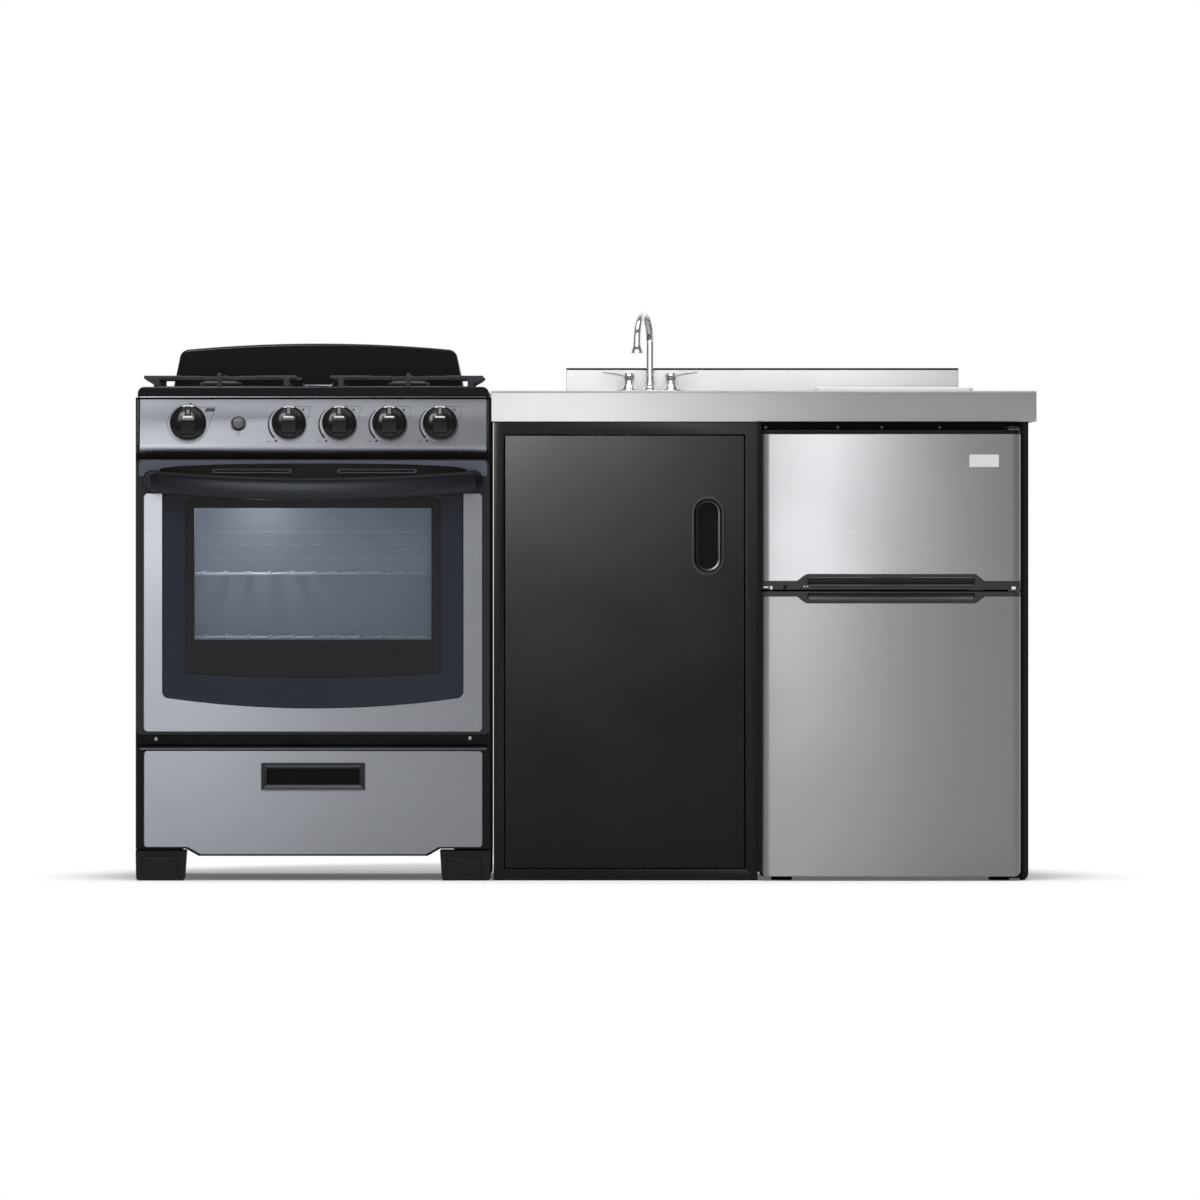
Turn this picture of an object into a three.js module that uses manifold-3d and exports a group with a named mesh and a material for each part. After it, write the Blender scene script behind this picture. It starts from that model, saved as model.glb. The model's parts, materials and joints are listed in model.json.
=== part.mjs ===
// Kitchenette unit: a gas range with four burners and an oven, beside a steel counter with sink and tap
// that stands on a cabinet and a two-door refrigerator.
// Millimetres. +X right, +Y towards the wall, +Z up. Y = 0 is the front face of range body and cabinet.
// The exported group is moved so that the centre of the floor area is the origin.
import * as THREE from "three";
import { mergeVertices } from "three/addons/utils/BufferGeometryUtils.js";
import Module from "manifold-3d";

const wasm = await Module();
wasm.setup();

// ---- driving dimensions ------------------------------------------------------------------------------

const CLEAR = 0.3; // gap between pieces that touch
const RUN = 1.5; // running gap beside doors and drawers
const THROUGH = 100; // reach of a cut that goes right through a front
const OVER = 1; // how far a cut runs past a face, and joined shapes run into each other
const BEVEL = 1; // width of a small bevel

// overall
const RANGE_WIDTH = 646;
const COUNTER_WIDTH = 991;
const BODY_DEPTH = 590;
const COUNTER_TOP = 890;

// range body
const FOOT_HEIGHT = 56;
const FOOT_WIDTH = 93;
const FOOT_DEPTH = 70;
const FOOT_TAPER = 3;
const FOOT_FORWARD = 17.5;
const RANGE_BODY_TOP = 878;
const RANGE_WALL = 20;
const DRAWER_BAY_TOP = 240;
const OVEN_BAY_BOTTOM = 266;
const OVEN_BAY_TOP = 716;
const OVEN_BAY_WIDTH = 500;
const VALVE_BAY_BOTTOM = 786;
const BURNER_BAY_BOTTOM = 800;
const RANGE_BACK_WALL = 30;

// oven
const LINER_WALL = 4;
const LINER_BOTTOM = 296;
const LINER_DEPTH = 470;
const LEDGE_DEPTH = 12;
const LEDGE_HEIGHT = 6;
const LEDGE_SETBACK = 6;
const LEDGE_FIRST = 378;
const LEDGE_PITCH = 58.5;
const LEDGE_COUNT = 5;
const RACK_LEDGES = { lower: 1, upper: 3 };
const RACK_DEPTH = 385;
const WIRE = 5;
const RACK_WIRES = 11;
const OVEN_BURNER_RADIUS = 10;
const OVEN_BURNER_LENGTH = 380;
const OVEN_BURNER_STAND = 4;
const OVEN_BURNER_BRACKET = 4;
const OVEN_BURNER_BRACKET_INSET = 20;

// oven door
const DOOR_WIDTH = 642;
const DOOR_BOTTOM = 266;
const DOOR_TOP = 765;
const DOOR_GAP = 1;
const DOOR_FRAME_DEPTH = 22;
const DOOR_PANEL_DEPTH = 18;
const DOOR_EDGE_RADIUS = 10;
const TRIM_WIDTH = 615;
const TRIM_TOP = 704;
const TRIM_BOTTOM = 271;
const TRIM_THICKNESS = 3;
const TRIM_RADIUS = 8;
const TRIM_MOUTH = 20;
const BEZEL_WIDTH = 545;
const BEZEL_SIDE_BOTTOM = 334;
const BEZEL_SAG = 20;
const BEZEL_PROUD = 5;
const BEZEL_RADIUS = 14;
const WINDOW_WIDTH = 462;
const WINDOW_TOP = 697;
const WINDOW_SIDE_BOTTOM = 376;
const WINDOW_SAG = 6;
const WINDOW_RECESS = 10;
const WINDOW_RADIUS = 9;
const GLASS_WIDTH = 430;
const GLASS_BOTTOM = 438;
const GLASS_TOP = 677;
const GLASS_THICKNESS = 4;
const GLASS_LAP = 10;
const INNER_PANEL_INSET = 5;
const INNER_PANEL_LAP = 20;
const SCOOP_WIDTH = 560;
const SCOOP_BOTTOM = 710;
const SCOOP_SIDE_TOP = 743;
const SCOOP_RISE = 15;
const SCOOP_DEPTH = 10;
const SCOOP_FULLNESS = 0.8; // how far out its arch stays high
const HINGE_ARM_INSET = 18;
const HINGE_ARM_WIDTH = 12;
const HINGE_ARM_RADIUS = 4;
const DOOR_PIVOT = { y: -22, z: 271 };
const DOOR_PIVOT_RADIUS = 2;
const DOOR_PIVOT_REACH = 6;

// oven door handle
const HANDLE_LENGTH = 616;
const HANDLE_HEIGHT = 41;
const HANDLE_THICKNESS = 20;
const HANDLE_EDGE_RADIUS = 9;
const HANDLE_END_Z = 726;
const HANDLE_SAG = 14.5;
const HANDLE_REACH = 58;
const HANDLE_SQUARENESS = 0.75; // under 1, its ends turn in more sharply than an ellipse's
const HANDLE_STATIONS = 24;

// storage drawer
const DRAWER_FRONT_TOP = 245;
const DRAWER_FRONT_DEPTH = 20;
const DRAWER_BORDER = 3;
const DRAWER_PLATE_WIDTH = 615;
const DRAWER_PLATE_TOP = 236;
const DRAWER_PLATE_SIDE_BOTTOM = 61;
const DRAWER_PLATE_BOTTOM = 48;
const DRAWER_PLATE_LOW_WIDTH = 410;
const DRAWER_PLATE_SLOPE = 23;
const DRAWER_PLATE_THICKNESS = 3;
const DRAWER_BOX_WIDTH = 590;
const DRAWER_BOX_DEPTH = 440;
const DRAWER_BOX_HEIGHT = 120;
const DRAWER_BOX_FLOOR = 84;
const DRAWER_WALL = 3;
const DRAWER_RAIL = 18;
const DRAWER_RAIL_THICKNESS = 6;
const PULL_WIDTH = 189;
const PULL_HEIGHT = 50;
const PULL_Z = 189;
const PULL_RIM = 9;
const PULL_DEPTH = 14;
const PULL_WALL = 2;

// control panel
const PANEL_TILT = THREE.MathUtils.degToRad(19.5);
const PANEL_WIDTH = 642;
const PANEL_TOP = 875;
const PANEL_BOTTOM = 777;
const PANEL_TOP_Y = -6;
const PANEL_SHEET = 2.5;
const PANEL_EDGE_RADIUS = 9;

// knobs, from the left; offsets from the middle of the range
const KNOB_Z = 830;
const KNOB_OFFSETS = { oven: -227.2, burner_1: -44.2, burner_2: 47.4, burner_3: 138.6, burner_4: 230.4 };
const OVEN_KNOB_RADIUS = 33;
const BURNER_KNOB_RADIUS = 31;
const KNOB_LIFT = 4;
const KNOB_SKIRT = 7;
const KNOB_DOME = 15;
const KNOB_GRIP_HEIGHT = 25;
const KNOB_GRIP_WIDTH = 15;
const KNOB_GRIP_INSET = 6;
const KNOB_SHOULDER = { inset: 3, rise: 4 };
const KNOB_CROWN_INSET = 10;
const STEM_RADIUS = 4;
const STEM_CLEAR = 0.6;
const STEM_IN_KNOB = 14;
const STEM_SEAT = 8;
const STEM_HOLE_CLEAR = 1.5;
const VALVE_FACE = 45;
const KNOB_TRAVEL = 3;
const BUTTON_OFFSET = -135.8;
const BUTTON_RADIUS = 12.5;
const BUTTON_PROUD = 6;
const BUTTON_TRAVEL = 2.5;
const BUTTON_DEPTH = 4;
const BUTTON_GROOVE = { width: 2.4, depth: 1.5, inset: 3 };
const VALVE_SIZE = 26;
const MANIFOLD_RADIUS = 9;

// cooktop
const COOKTOP_THICKNESS = 19;
const COOKTOP_WIDTH = 638;
const COOKTOP_FRONT = -12;
const COOKTOP_EDGE_RADIUS = 14;
const COOKTOP_RIM = 22;
const COOKTOP_WELL = 8;
const COOKTOP_SHEET = 4;
const COOKTOP_BACK_GAP = 2;
const COOKTOP_WELL_RADIUS = 18;
const COOKTOP_LIP = 6;
const BURNER_SPREAD = 172;
const BURNER_FRONT_Y = 150;
const BURNER_REAR_Y = 405;
const BURNER_RADII = { front: 40, rear: 34 };
const BURNER_HOLE_RADIUS = 26;
const BURNER_THROAT = { radius: 16, depth: 38, clear: 4 };
const BURNER_HEAD = { flange: 4, inset: 5, height: 11 };
const BURNER_CAP = { inset: 2, rim: 15, shoulder: 7, height: 19 };

// grates
const GRATE_HEIGHT = 40; // above the range body
const GRATE_BAR = 8;
const GRATE_OUTER = 309;
const GRATE_INNER = 30;
const GRATE_FRONT = 34;
const GRATE_BACK = 522;
const GRATE_LEG_INSETS = { outer: 18, inner: 14 };
const GRATE_LEG = 11;
const GRATE_STUB_HEIGHT = 6;
const GRATE_GUSSET = { height: 12, tip: 4 };
const FINGER_GAPS = { edge: 69, front: 31, rear: 12 };
const FRONT_POST_RISE = 4;

// backguard
const BACKGUARD_TOP_WIDTH = 508;
const BACKGUARD_BOTTOM_WIDTH = 536;
const BACKGUARD_SIDE_HEIGHT = 90;
const BACKGUARD_ARCH = 12;
const BACKGUARD_RADIUS = 16;
const BACKGUARD_DEPTH = 36;
const BACKGUARD_SHELL = 3;
const BACKGUARD_WALL_GAP = 4;
const BACKGUARD_CORNER = { lean: 2, rise: 1 };

// counter and backsplash
const APRON_HEIGHT = 56;
const COUNTER_FRONT = -14;
const COUNTER_BACK = 600;
const COUNTER_SHEET = 4;
const COUNTER_EDGE_RADIUS = 4;
const SPLASH_WIDTH = 741;
const SPLASH_HEIGHT = 46;
const SPLASH_THICKNESS = 12;

// tap; its middle is also the middle of the sink
const TAP_FROM_LEFT = 290;
const TAP_Y = 500;
const TAP_SPREAD = 77;
const TAP_PLATE_HEIGHT = 5;
const TAP_PLATE_WIDTH = 44;
const TAP_PLATE_LENGTH = 128;
const TAP_POST_HEIGHT = 14;
const TAP_POST_FLARE = 9;
const TAP_POST_WALL = 4;
const TAP_BORE_FLOOR = 2;
const SPOUT_RADIUS = 6.8;
const SPOUT_HEIGHT = 150;
const SPOUT_REACH = 100;
const SPOUT_DROP = 4;
const SPOUT_REST_TURN = -14; // degrees
const AERATOR_LENGTH = 19;
const AERATOR_TOP_RADIUS = 6;
const AERATOR_MOUTH_RADIUS = 11.5;
const AERATOR_RIM = 3;
const AERATOR_RECESS = 3;
const AERATOR_LIP = 5;
const AERATOR_SHOULDER = 2;
const LEVER_BASE_RADIUS = 17;
const LEVER_WAIST_RADIUS = 9;
const LEVER_HUB_RADIUS = 11;
const LEVER_WAIST_HEIGHT = 17;
const LEVER_HUB_HEIGHT = 32;
const LEVER_LENGTH = 51;
const LEVER_THICKNESS = 7;
const LEVER_SEAT_RIM = 2;
const LEVER_SEAT_DROP = 6;
const LEVER_COLLAR = 4;
const LEVER_CROWN_INSET = 5;
/** Stations along a blade; each is narrower, higher and thinner than the hub by these amounts. */
const LEVER_STATIONS = [
  { along: 0, narrower: 2, up: 0, thinner: 0 },
  { along: 0.216, narrower: 4, up: 1, thinner: 0 },
  { along: 0.7, narrower: 3, up: 4, thinner: 0.7 },
  { along: 1, narrower: 5, up: 6, thinner: 1.2 },
];

// sink
const SINK_WIDTH = 296;
const SINK_DEPTH = 300;
const SINK_BOWL = 140;
const SINK_RADIUS = 45;
const SINK_WALL = 3;
const SINK_FLANGE = 14;
const SINK_FRONT = 90;
const DRAIN_RADIUS = 24;
const STRAINER_CUP = 16;
const STRAINER_TAPER = 4;
const STRAINER_LAP = 7;
const STRAINER_FLANGE = 2;
const STRAINER_WALL = 3;
const STRAINER_KNOB = { radius: 5, height: 6 };
const TRAP_RADIUS = 19;
const TRAP_DROP = 150;
const TRAP_CUP_WALL = 10;
const TRAP_CUP_FLOOR = 8;

// chopping board
const BOARD_WIDTH = 288;
const BOARD_DEPTH = 190;
const BOARD_THICKNESS = 9;
const BOARD_RADIUS = 12;
const BOARD_FROM_RIGHT = 107;
const BOARD_FROM_SPLASH = 20;

// cabinet
const CABINET_WIDTH = 480;
const CABINET_DEPTH = 585;
const CABINET_WALL = 16;
const CABINET_FRONT_WALL = 20;
const CABINET_STILE_LEFT = 21;
const CABINET_STILE_RIGHT = 24.5;
const CABINET_DOOR_THICKNESS = 18;
const CABINET_DOOR_BOTTOM = 22.7;
const CABINET_DOOR_TOP = 808.6;
const CABINET_DOOR_GAP = 2;
const CABINET_PIVOT_INSET = 4;
const CABINET_PIVOT_RADIUS = 2.5;
const CABINET_PIVOT_LENGTH = 8;
const CABINET_PULL_WIDTH = 62.6;
const CABINET_PULL_HEIGHT = 146.5;
const CABINET_PULL_RIM = 8;
const CABINET_PULL_FLANGE = 2;
const CABINET_PULL_DEPTH = 24;
const CABINET_PULL_EDGE = 34.5;
const CABINET_PULL_TOP = 700;

// refrigerator and the panel beside it
const SIDE_PANEL_WIDTH = 14;
const SIDE_PANEL_INSET = 14.5;
const SIDE_PANEL_RADIUS = 13;
const FRIDGE_WIDTH = 472;
const FRIDGE_TOP = 840;
const FRIDGE_BASE = 8;
const FRIDGE_BODY_FRONT = 12;
const FRIDGE_BODY_BACK = 560;
const FRIDGE_WALL = 38;
const FRIDGE_SPLIT = 527;
const FRIDGE_DIVIDER = 40;
const FRIDGE_DOOR_BACK = 6;
const FRIDGE_DOOR_DEPTH = 44;
const FRIDGE_DOOR_BOW = 7;
const FRIDGE_DOOR_RADIUS = 12;
const FRIDGE_DOOR_LEAN = 0.7;
const FREEZER_DOOR_TOP = 818;
const HINGE_PLATE = 3;
const HINGE_SIDES = { left: 12, right: 9, front: 8 };
const HINGE_BRACKET = 30;
const HINGE_TAB = 4;
const HINGE_FROM_EDGE = 11;
const HINGE_PIN_RADIUS = 3;
const HINGE_PIN_LENGTH = 7;
const HINGE_AXIS_Y = -16;
const GRIP_TOP_WIDTH = 307;
const GRIP_CHAMFER = 16.5;
const GRIP_RISE = 12.5;
const FREEZER_GRIP_HEIGHT = 15;
const FRIDGE_GRIP_HEIGHT = 8;
const GRIP_LIP = 9;
const GRIP_WALL = 4;
const GRIP_POCKET_DEPTH = 16;
const SHELF_Z = 330;
const SHELF_DEPTH = 400;
const SHELF_THICKNESS = 8;
const SHELF_LEDGE = 10;
const SHELF_SETBACK = 20;
const COMPRESSOR_RADIUS = 55;
const COMPRESSOR_HEIGHT = 120;
const COMPRESSOR_FOOT = 4;
const COMPRESSOR_BAY_HEIGHT = 160;
const COMPRESSOR_BAY_DEPTH = 170;

// ---- places worked out from them ---------------------------------------------------------------------

const totalWidth = RANGE_WIDTH + CLEAR + COUNTER_WIDTH;
const rangeLeft = -totalWidth / 2;
const rangeRight = rangeLeft + RANGE_WIDTH;
const rangeX = (rangeLeft + rangeRight) / 2;
const counterLeft = rangeRight + CLEAR;
const counterRight = counterLeft + COUNTER_WIDTH;

// ---- colours -----------------------------------------------------------------------------------------

const paint = (color, roughness, metalness) =>
  new THREE.MeshStandardMaterial({ color, roughness, metalness });
const steel = paint(0xa9abb0, 0.32, 1);
const chrome = paint(0xe2e4e6, 0.06, 1);
const blackEnamel = paint(0x0b0c0e, 0.18, 0);
const blackPaint = paint(0x1b1b1d, 0.45, 0);
const blackPlastic = paint(0x121316, 0.35, 0);
const slate = paint(0x3a3f4a, 0.4, 0);
const castIron = paint(0x3c3f45, 0.6, 0.4);
const ovenEnamel = paint(0x4a5260, 0.35, 0);
const glass = paint(0x20252c, 0.05, 0);
const brass = paint(0xb08d4a, 0.35, 1);
const zinc = paint(0x8b8f94, 0.4, 1);
const white = paint(0xf2f2f0, 0.5, 0);

// ---- solids ------------------------------------------------------------------------------------------

const WELD = 1e-4; // points nearer than this are one point

/** A closed three.js geometry as a solid that can be joined and cut. */
function solid(geometry) {
  const bare = geometry.index ? geometry.toNonIndexed() : geometry.clone();
  for (const name of Object.keys(bare.attributes)) {
    if (name !== "position") bare.deleteAttribute(name);
  }
  const merged = mergeVertices(bare, WELD);
  const vertProperties = new Float32Array(merged.attributes.position.array);
  const triVerts = new Uint32Array(merged.index.array);
  return new wasm.Manifold(new wasm.Mesh({ numProp: 3, vertProperties, triVerts }));
}

/** A solid as a named mesh. */
function piece(name, body, material) {
  const { vertProperties, triVerts } = body.getMesh();
  const geometry = new THREE.BufferGeometry();
  geometry.setAttribute("position", new THREE.BufferAttribute(new Float32Array(vertProperties), 3));
  geometry.setIndex(new THREE.BufferAttribute(new Uint32Array(triVerts), 1));
  geometry.computeVertexNormals();
  const mesh = new THREE.Mesh(geometry, material);
  mesh.name = name;
  return mesh;
}

/** A box between two corners. */
function box(x0, x1, y0, y1, z0, z1) {
  const geometry = new THREE.BoxGeometry(x1 - x0, y1 - y0, z1 - z0);
  return solid(geometry.translate((x0 + x1) / 2, (y0 + y1) / 2, (z0 + z1) / 2));
}

/** A box centred on x. */
const centredBox = (x, width, y0, y1, z0, z1) => box(x - width / 2, x + width / 2, y0, y1, z0, z1);

const union = (first, ...rest) => rest.reduce((whole, part) => whole.add(part), first);
const cut = (first, ...rest) => rest.reduce((whole, part) => whole.subtract(part), first);

/** A rounded rectangle; each corner, from lower left anticlockwise, may have its own radius. */
function roundedShape(x0, x1, y0, y1, radius) {
  const [a, b, c, d] = Array.isArray(radius) ? radius : [radius, radius, radius, radius];
  const shape = new THREE.Shape();
  const corner = (x, y, r, start) => {
    if (r > 0) shape.absarc(x, y, r, start, start + Math.PI / 2, false);
    else shape.lineTo(x, y);
  };
  shape.moveTo(x0 + a, y0);
  corner(x1 - b, y0 + b, b, -Math.PI / 2);
  corner(x1 - c, y1 - c, c, 0);
  corner(x0 + d, y1 - d, d, Math.PI / 2);
  corner(x0 + a, y0 + a, a, Math.PI);
  return shape;
}

const extrude = (shape, depth, curveSegments) =>
  new THREE.ExtrudeGeometry(shape, { depth, bevelEnabled: false, curveSegments });

/** A front-view outline (x, z) with its front face at y0 and its back at y1. */
const frontPlate = (shape, y0, y1, curves = 2) =>
  solid(extrude(shape, y1 - y0, curves).rotateX(Math.PI / 2).translate(0, y1, 0));

/** A plan outline (x, y) from z0 up to z1. */
const floorPlate = (shape, z0, z1, curves = 2) =>
  solid(extrude(shape, z1 - z0, curves).translate(0, 0, z0));

/** A side-view outline (y, z) from x0 to x1. */
function sidePlate(shape, x0, x1, curves = 2) {
  const turn = new THREE.Matrix4().set(0, 0, 1, 0, 1, 0, 0, 0, 0, 1, 0, 0, 0, 0, 0, 1);
  return solid(extrude(shape, x1 - x0, curves).applyMatrix4(turn).translate(x0, 0, 0));
}

const polygon = (points) => new THREE.Shape(points.map(([x, y]) => new THREE.Vector2(x, y)));

/** A turned solid about +Z from a profile of [radius, z] that starts and ends on the axis. */
function turned(profile, sides = 20) {
  const points = profile.map(([r, z]) => new THREE.Vector2(r, z));
  return solid(new THREE.LatheGeometry(points, sides).rotateX(Math.PI / 2));
}

/** A round bar about +Z from z0 to z1. */
const bar = (radius, z0, z1, sides = 16) => turned([[0, z0], [radius, z0], [radius, z1], [0, z1]], sides);

/** A round bar along X or Y. */
const barAlongX = (radius, x0, x1, y, z, sides = 12) =>
  bar(radius, x0, x1, sides).rotate([0, 90, 0]).translate([0, y, z]);
const barAlongY = (radius, y0, y1, x, z, sides = 12) =>
  bar(radius, -y1, -y0, sides).rotate([90, 0, 0]).translate([x, 0, z]);

/** A tube of round section along a curve, with an even number of sides. */
function tube(curve, radius, steps, sides = 10) {
  const section = new THREE.Shape();
  section.absarc(0, 0, radius, 0, 2 * Math.PI, false);
  const options = { extrudePath: curve, steps, curveSegments: sides / 2, bevelEnabled: false };
  return solid(new THREE.ExtrudeGeometry(section, options));
}

/** A closed skin over rings of points that all have the same count; it faces out whichever way they run. */
function loft(rings) {
  const count = rings[0].length;
  const points = rings.flat();
  const faces = [];
  for (let i = 0; i < rings.length - 1; i += 1) {
    for (let j = 0; j < count; j += 1) {
      const a = i * count + j;
      const b = i * count + ((j + 1) % count);
      faces.push(a, b, b + count, a, b + count, a + count);
    }
  }
  const last = (rings.length - 1) * count;
  for (let j = 1; j < count - 1; j += 1) {
    faces.push(0, j + 1, j, last, last + j, last + j + 1);
  }
  const geometry = new THREE.BufferGeometry().setFromPoints(points);
  geometry.setIndex(faces);
  const body = solid(geometry);
  if (body.volume() > 0) return body;
  geometry.setIndex(faces.toReversed());
  return solid(geometry);
}

/** A flat-fronted rounded section (a, b) with half sizes, as an outline of points. */
function roundedSection(halfA, halfB, radius, cornerSteps = 3) {
  const outline = [];
  for (const [signA, signB, start] of [[1, 1, 0], [-1, 1, 1], [-1, -1, 2], [1, -1, 3]]) {
    for (let i = 0; i < cornerSteps; i += 1) {
      const angle = (start + i / (cornerSteps - 1)) * (Math.PI / 2);
      outline.push([
        signA * (halfA - radius) + radius * Math.cos(angle),
        signB * (halfB - radius) + radius * Math.sin(angle),
      ]);
    }
  }
  return outline;
}

/** A rounded rectangle whose lower edge sags in the middle. */
function saggingShape(x, width, sideBottom, sag, top, radius) {
  const half = width / 2;
  const shape = new THREE.Shape();
  shape.moveTo(x - half, sideBottom + radius);
  const cornerZ = sideBottom - (2 * sag * radius) / half;
  shape.quadraticCurveTo(x - half, sideBottom, x - half + radius, cornerZ);
  shape.quadraticCurveTo(x, sideBottom - 2 * sag, x + half - radius, cornerZ);
  shape.quadraticCurveTo(x + half, sideBottom, x + half, sideBottom + radius);
  shape.lineTo(x + half, top - radius);
  shape.quadraticCurveTo(x + half, top, x + half - radius, top);
  shape.lineTo(x - half + radius, top);
  shape.quadraticCurveTo(x - half, top, x - half, top - radius);
  return shape;
}

// ---- range: body, feet and oven ----------------------------------------------------------------------

const bayBackY = BODY_DEPTH - RANGE_BACK_WALL;
const bayHalf = RANGE_WIDTH / 2 - RANGE_WALL;
const linerOuterHalf = OVEN_BAY_WIDTH / 2 - CLEAR;
const linerInnerHalf = linerOuterHalf - LINER_WALL;
const linerTop = OVEN_BAY_TOP - CLEAR;

const hingeArmPlaces = [-1, 1].map((side) => rangeX + side * (OVEN_BAY_WIDTH / 2 + HINGE_ARM_INSET));

/** The two round-ended arms that carry the oven door. */
const hingeArms = () => union(...hingeArmPlaces.flatMap((x) => {
  const half = HINGE_ARM_WIDTH / 2;
  const r = HINGE_ARM_RADIUS;
  return [
    box(x - half, x + half, DOOR_PIVOT.y, OVER, DOOR_PIVOT.z - r, DOOR_PIVOT.z + r),
    barAlongX(r, x - half, x + half, DOOR_PIVOT.y, DOOR_PIVOT.z, 16),
  ];
}));

/** The pockets in the door that the arms swing down through as it opens. */
const hingePockets = () => union(...hingeArmPlaces.map((x) => {
  const r = HINGE_ARM_RADIUS + RUN / 2;
  return centredBox(x, HINGE_ARM_WIDTH + RUN, DOOR_PIVOT.y - r, OVER, DOOR_BOTTOM - OVER, DOOR_PIVOT.z + r);
}));

const hingePins = (radius) => union(...hingeArmPlaces.map((x) => {
  const reach = HINGE_ARM_WIDTH / 2 + DOOR_PIVOT_REACH;
  return barAlongX(radius, x - reach, x + reach, DOOR_PIVOT.y, DOOR_PIVOT.z);
}));

function rangeBody() {
  const shell = box(rangeLeft, rangeRight, 0, BODY_DEPTH, FOOT_HEIGHT, RANGE_BODY_TOP);
  const bay = (width, y0, y1, z0, z1) => centredBox(rangeX, width, y0 - OVER, y1, z0, z1);
  const drawerBay = bay(2 * bayHalf, 0, bayBackY, FOOT_HEIGHT - OVER, DRAWER_BAY_TOP);
  const ovenBay = bay(OVEN_BAY_WIDTH, 0, bayBackY, OVEN_BAY_BOTTOM, OVEN_BAY_TOP);
  const valveBay = bay(2 * bayHalf, 0, BURNER_FRONT_Y, VALVE_BAY_BOTTOM, RANGE_BODY_TOP + OVER);
  const burnerBay = bay(2 * bayHalf, BURNER_FRONT_Y, bayBackY, BURNER_BAY_BOTTOM, RANGE_BODY_TOP + OVER);
  const rails = [-1, 1].map((side) => {
    const outer = rangeX + side * bayHalf;
    const inner = outer - side * DRAWER_RAIL;
    const z1 = DRAWER_BOX_FLOOR - CLEAR;
    const [x0, x1] = [Math.min(outer, inner), Math.max(outer, inner)];
    return box(x0, x1, RUN, bayBackY, z1 - DRAWER_RAIL_THICKNESS, z1);
  });
  const hollow = cut(shell, drawerBay, ovenBay, valveBay, burnerBay);
  return union(hollow, ...rails, hingeArms(), hingePins(DOOR_PIVOT_RADIUS));
}

function foot(side, front) {
  const x0 = side < 0 ? rangeLeft : rangeRight - FOOT_WIDTH;
  const x1 = x0 + FOOT_WIDTH;
  const y = front ? -FOOT_FORWARD : BODY_DEPTH - FOOT_DEPTH;
  const z1 = FOOT_HEIGHT - CLEAR;
  const outline = polygon([[x0 + FOOT_TAPER, 0], [x1 - FOOT_TAPER, 0], [x1, z1], [x0, z1]]);
  return frontPlate(outline, y, y + FOOT_DEPTH);
}

function ovenLiner() {
  const outer = centredBox(rangeX, 2 * linerOuterHalf, CLEAR, LINER_DEPTH, LINER_BOTTOM, linerTop);
  const inner = centredBox(rangeX, 2 * linerInnerHalf, -OVER, LINER_DEPTH - LINER_WALL,
    LINER_BOTTOM + LINER_WALL, linerTop - LINER_WALL);
  const ledges = [];
  for (let i = 0; i < LEDGE_COUNT; i += 1) {
    const z1 = LEDGE_FIRST + i * LEDGE_PITCH;
    for (const side of [-1, 1]) {
      const x = rangeX + side * (linerInnerHalf - LEDGE_DEPTH / 2 + OVER);
      const width = LEDGE_DEPTH + 2 * OVER;
      ledges.push(centredBox(x, width, LEDGE_SETBACK, LINER_DEPTH - OVER, z1 - LEDGE_HEIGHT, z1));
    }
  }
  return union(cut(outer, inner), ...ledges);
}

/** Wires from front to back on a frame of four, laid on a pair of ledges. */
function ovenRack(ledge) {
  const z0 = LEDGE_FIRST + ledge * LEDGE_PITCH + CLEAR;
  const half = linerInnerHalf - RUN;
  const y1 = LINER_DEPTH - LINER_WALL - RUN;
  const y0 = y1 - RACK_DEPTH;
  const crossBar = (y) => centredBox(rangeX, 2 * half, y, y + WIRE, z0, z0 + WIRE);
  const wire = (x) => centredBox(x, WIRE, y0, y1, z0 + WIRE / 2, z0 + 1.5 * WIRE);
  const parts = [crossBar(y0), crossBar((y0 + y1) / 2), crossBar(y1 - WIRE)];
  parts.push(wire(rangeX - half + WIRE / 2), wire(rangeX + half - WIRE / 2));
  const pitch = (2 * half) / (RACK_WIRES + 1);
  for (let i = 1; i <= RACK_WIRES; i += 1) parts.push(wire(rangeX - half + i * pitch));
  return union(...parts);
}

/** The burner tube under the oven floor, on two brackets. */
function ovenBurner() {
  const y0 = (LINER_DEPTH - OVEN_BURNER_LENGTH) / 2;
  const y1 = y0 + OVEN_BURNER_LENGTH;
  const z0 = OVEN_BAY_BOTTOM + CLEAR;
  const z = z0 + OVEN_BURNER_RADIUS + OVEN_BURNER_STAND;
  const bracket = (y) => centredBox(rangeX, 3 * OVEN_BURNER_RADIUS, y, y + OVEN_BURNER_BRACKET, z0, z);
  const pipe = barAlongY(OVEN_BURNER_RADIUS, y0, y1, rangeX, z);
  const inset = OVEN_BURNER_BRACKET_INSET;
  return union(pipe, bracket(y0 + inset), bracket(y1 - inset - OVEN_BURNER_BRACKET));
}

// ---- range: oven door --------------------------------------------------------------------------------

const panelFrontY = -DOOR_GAP - DOOR_PANEL_DEPTH;
const frameBackY = panelFrontY - CLEAR;
const frameFrontY = frameBackY - DOOR_FRAME_DEPTH;
const trimBackY = frameFrontY - CLEAR;
const bezelFrontY = frameFrontY - BEZEL_PROUD;
const windowFloorY = bezelFrontY + WINDOW_RECESS;
const glassFrontY = windowFloorY + GLASS_THICKNESS + CLEAR;

const doorHalf = DOOR_WIDTH / 2;
const bezelShape = (grow) => saggingShape(rangeX, BEZEL_WIDTH + 2 * grow, BEZEL_SIDE_BOTTOM - grow, BEZEL_SAG,
  TRIM_TOP + grow, BEZEL_RADIUS);

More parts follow.
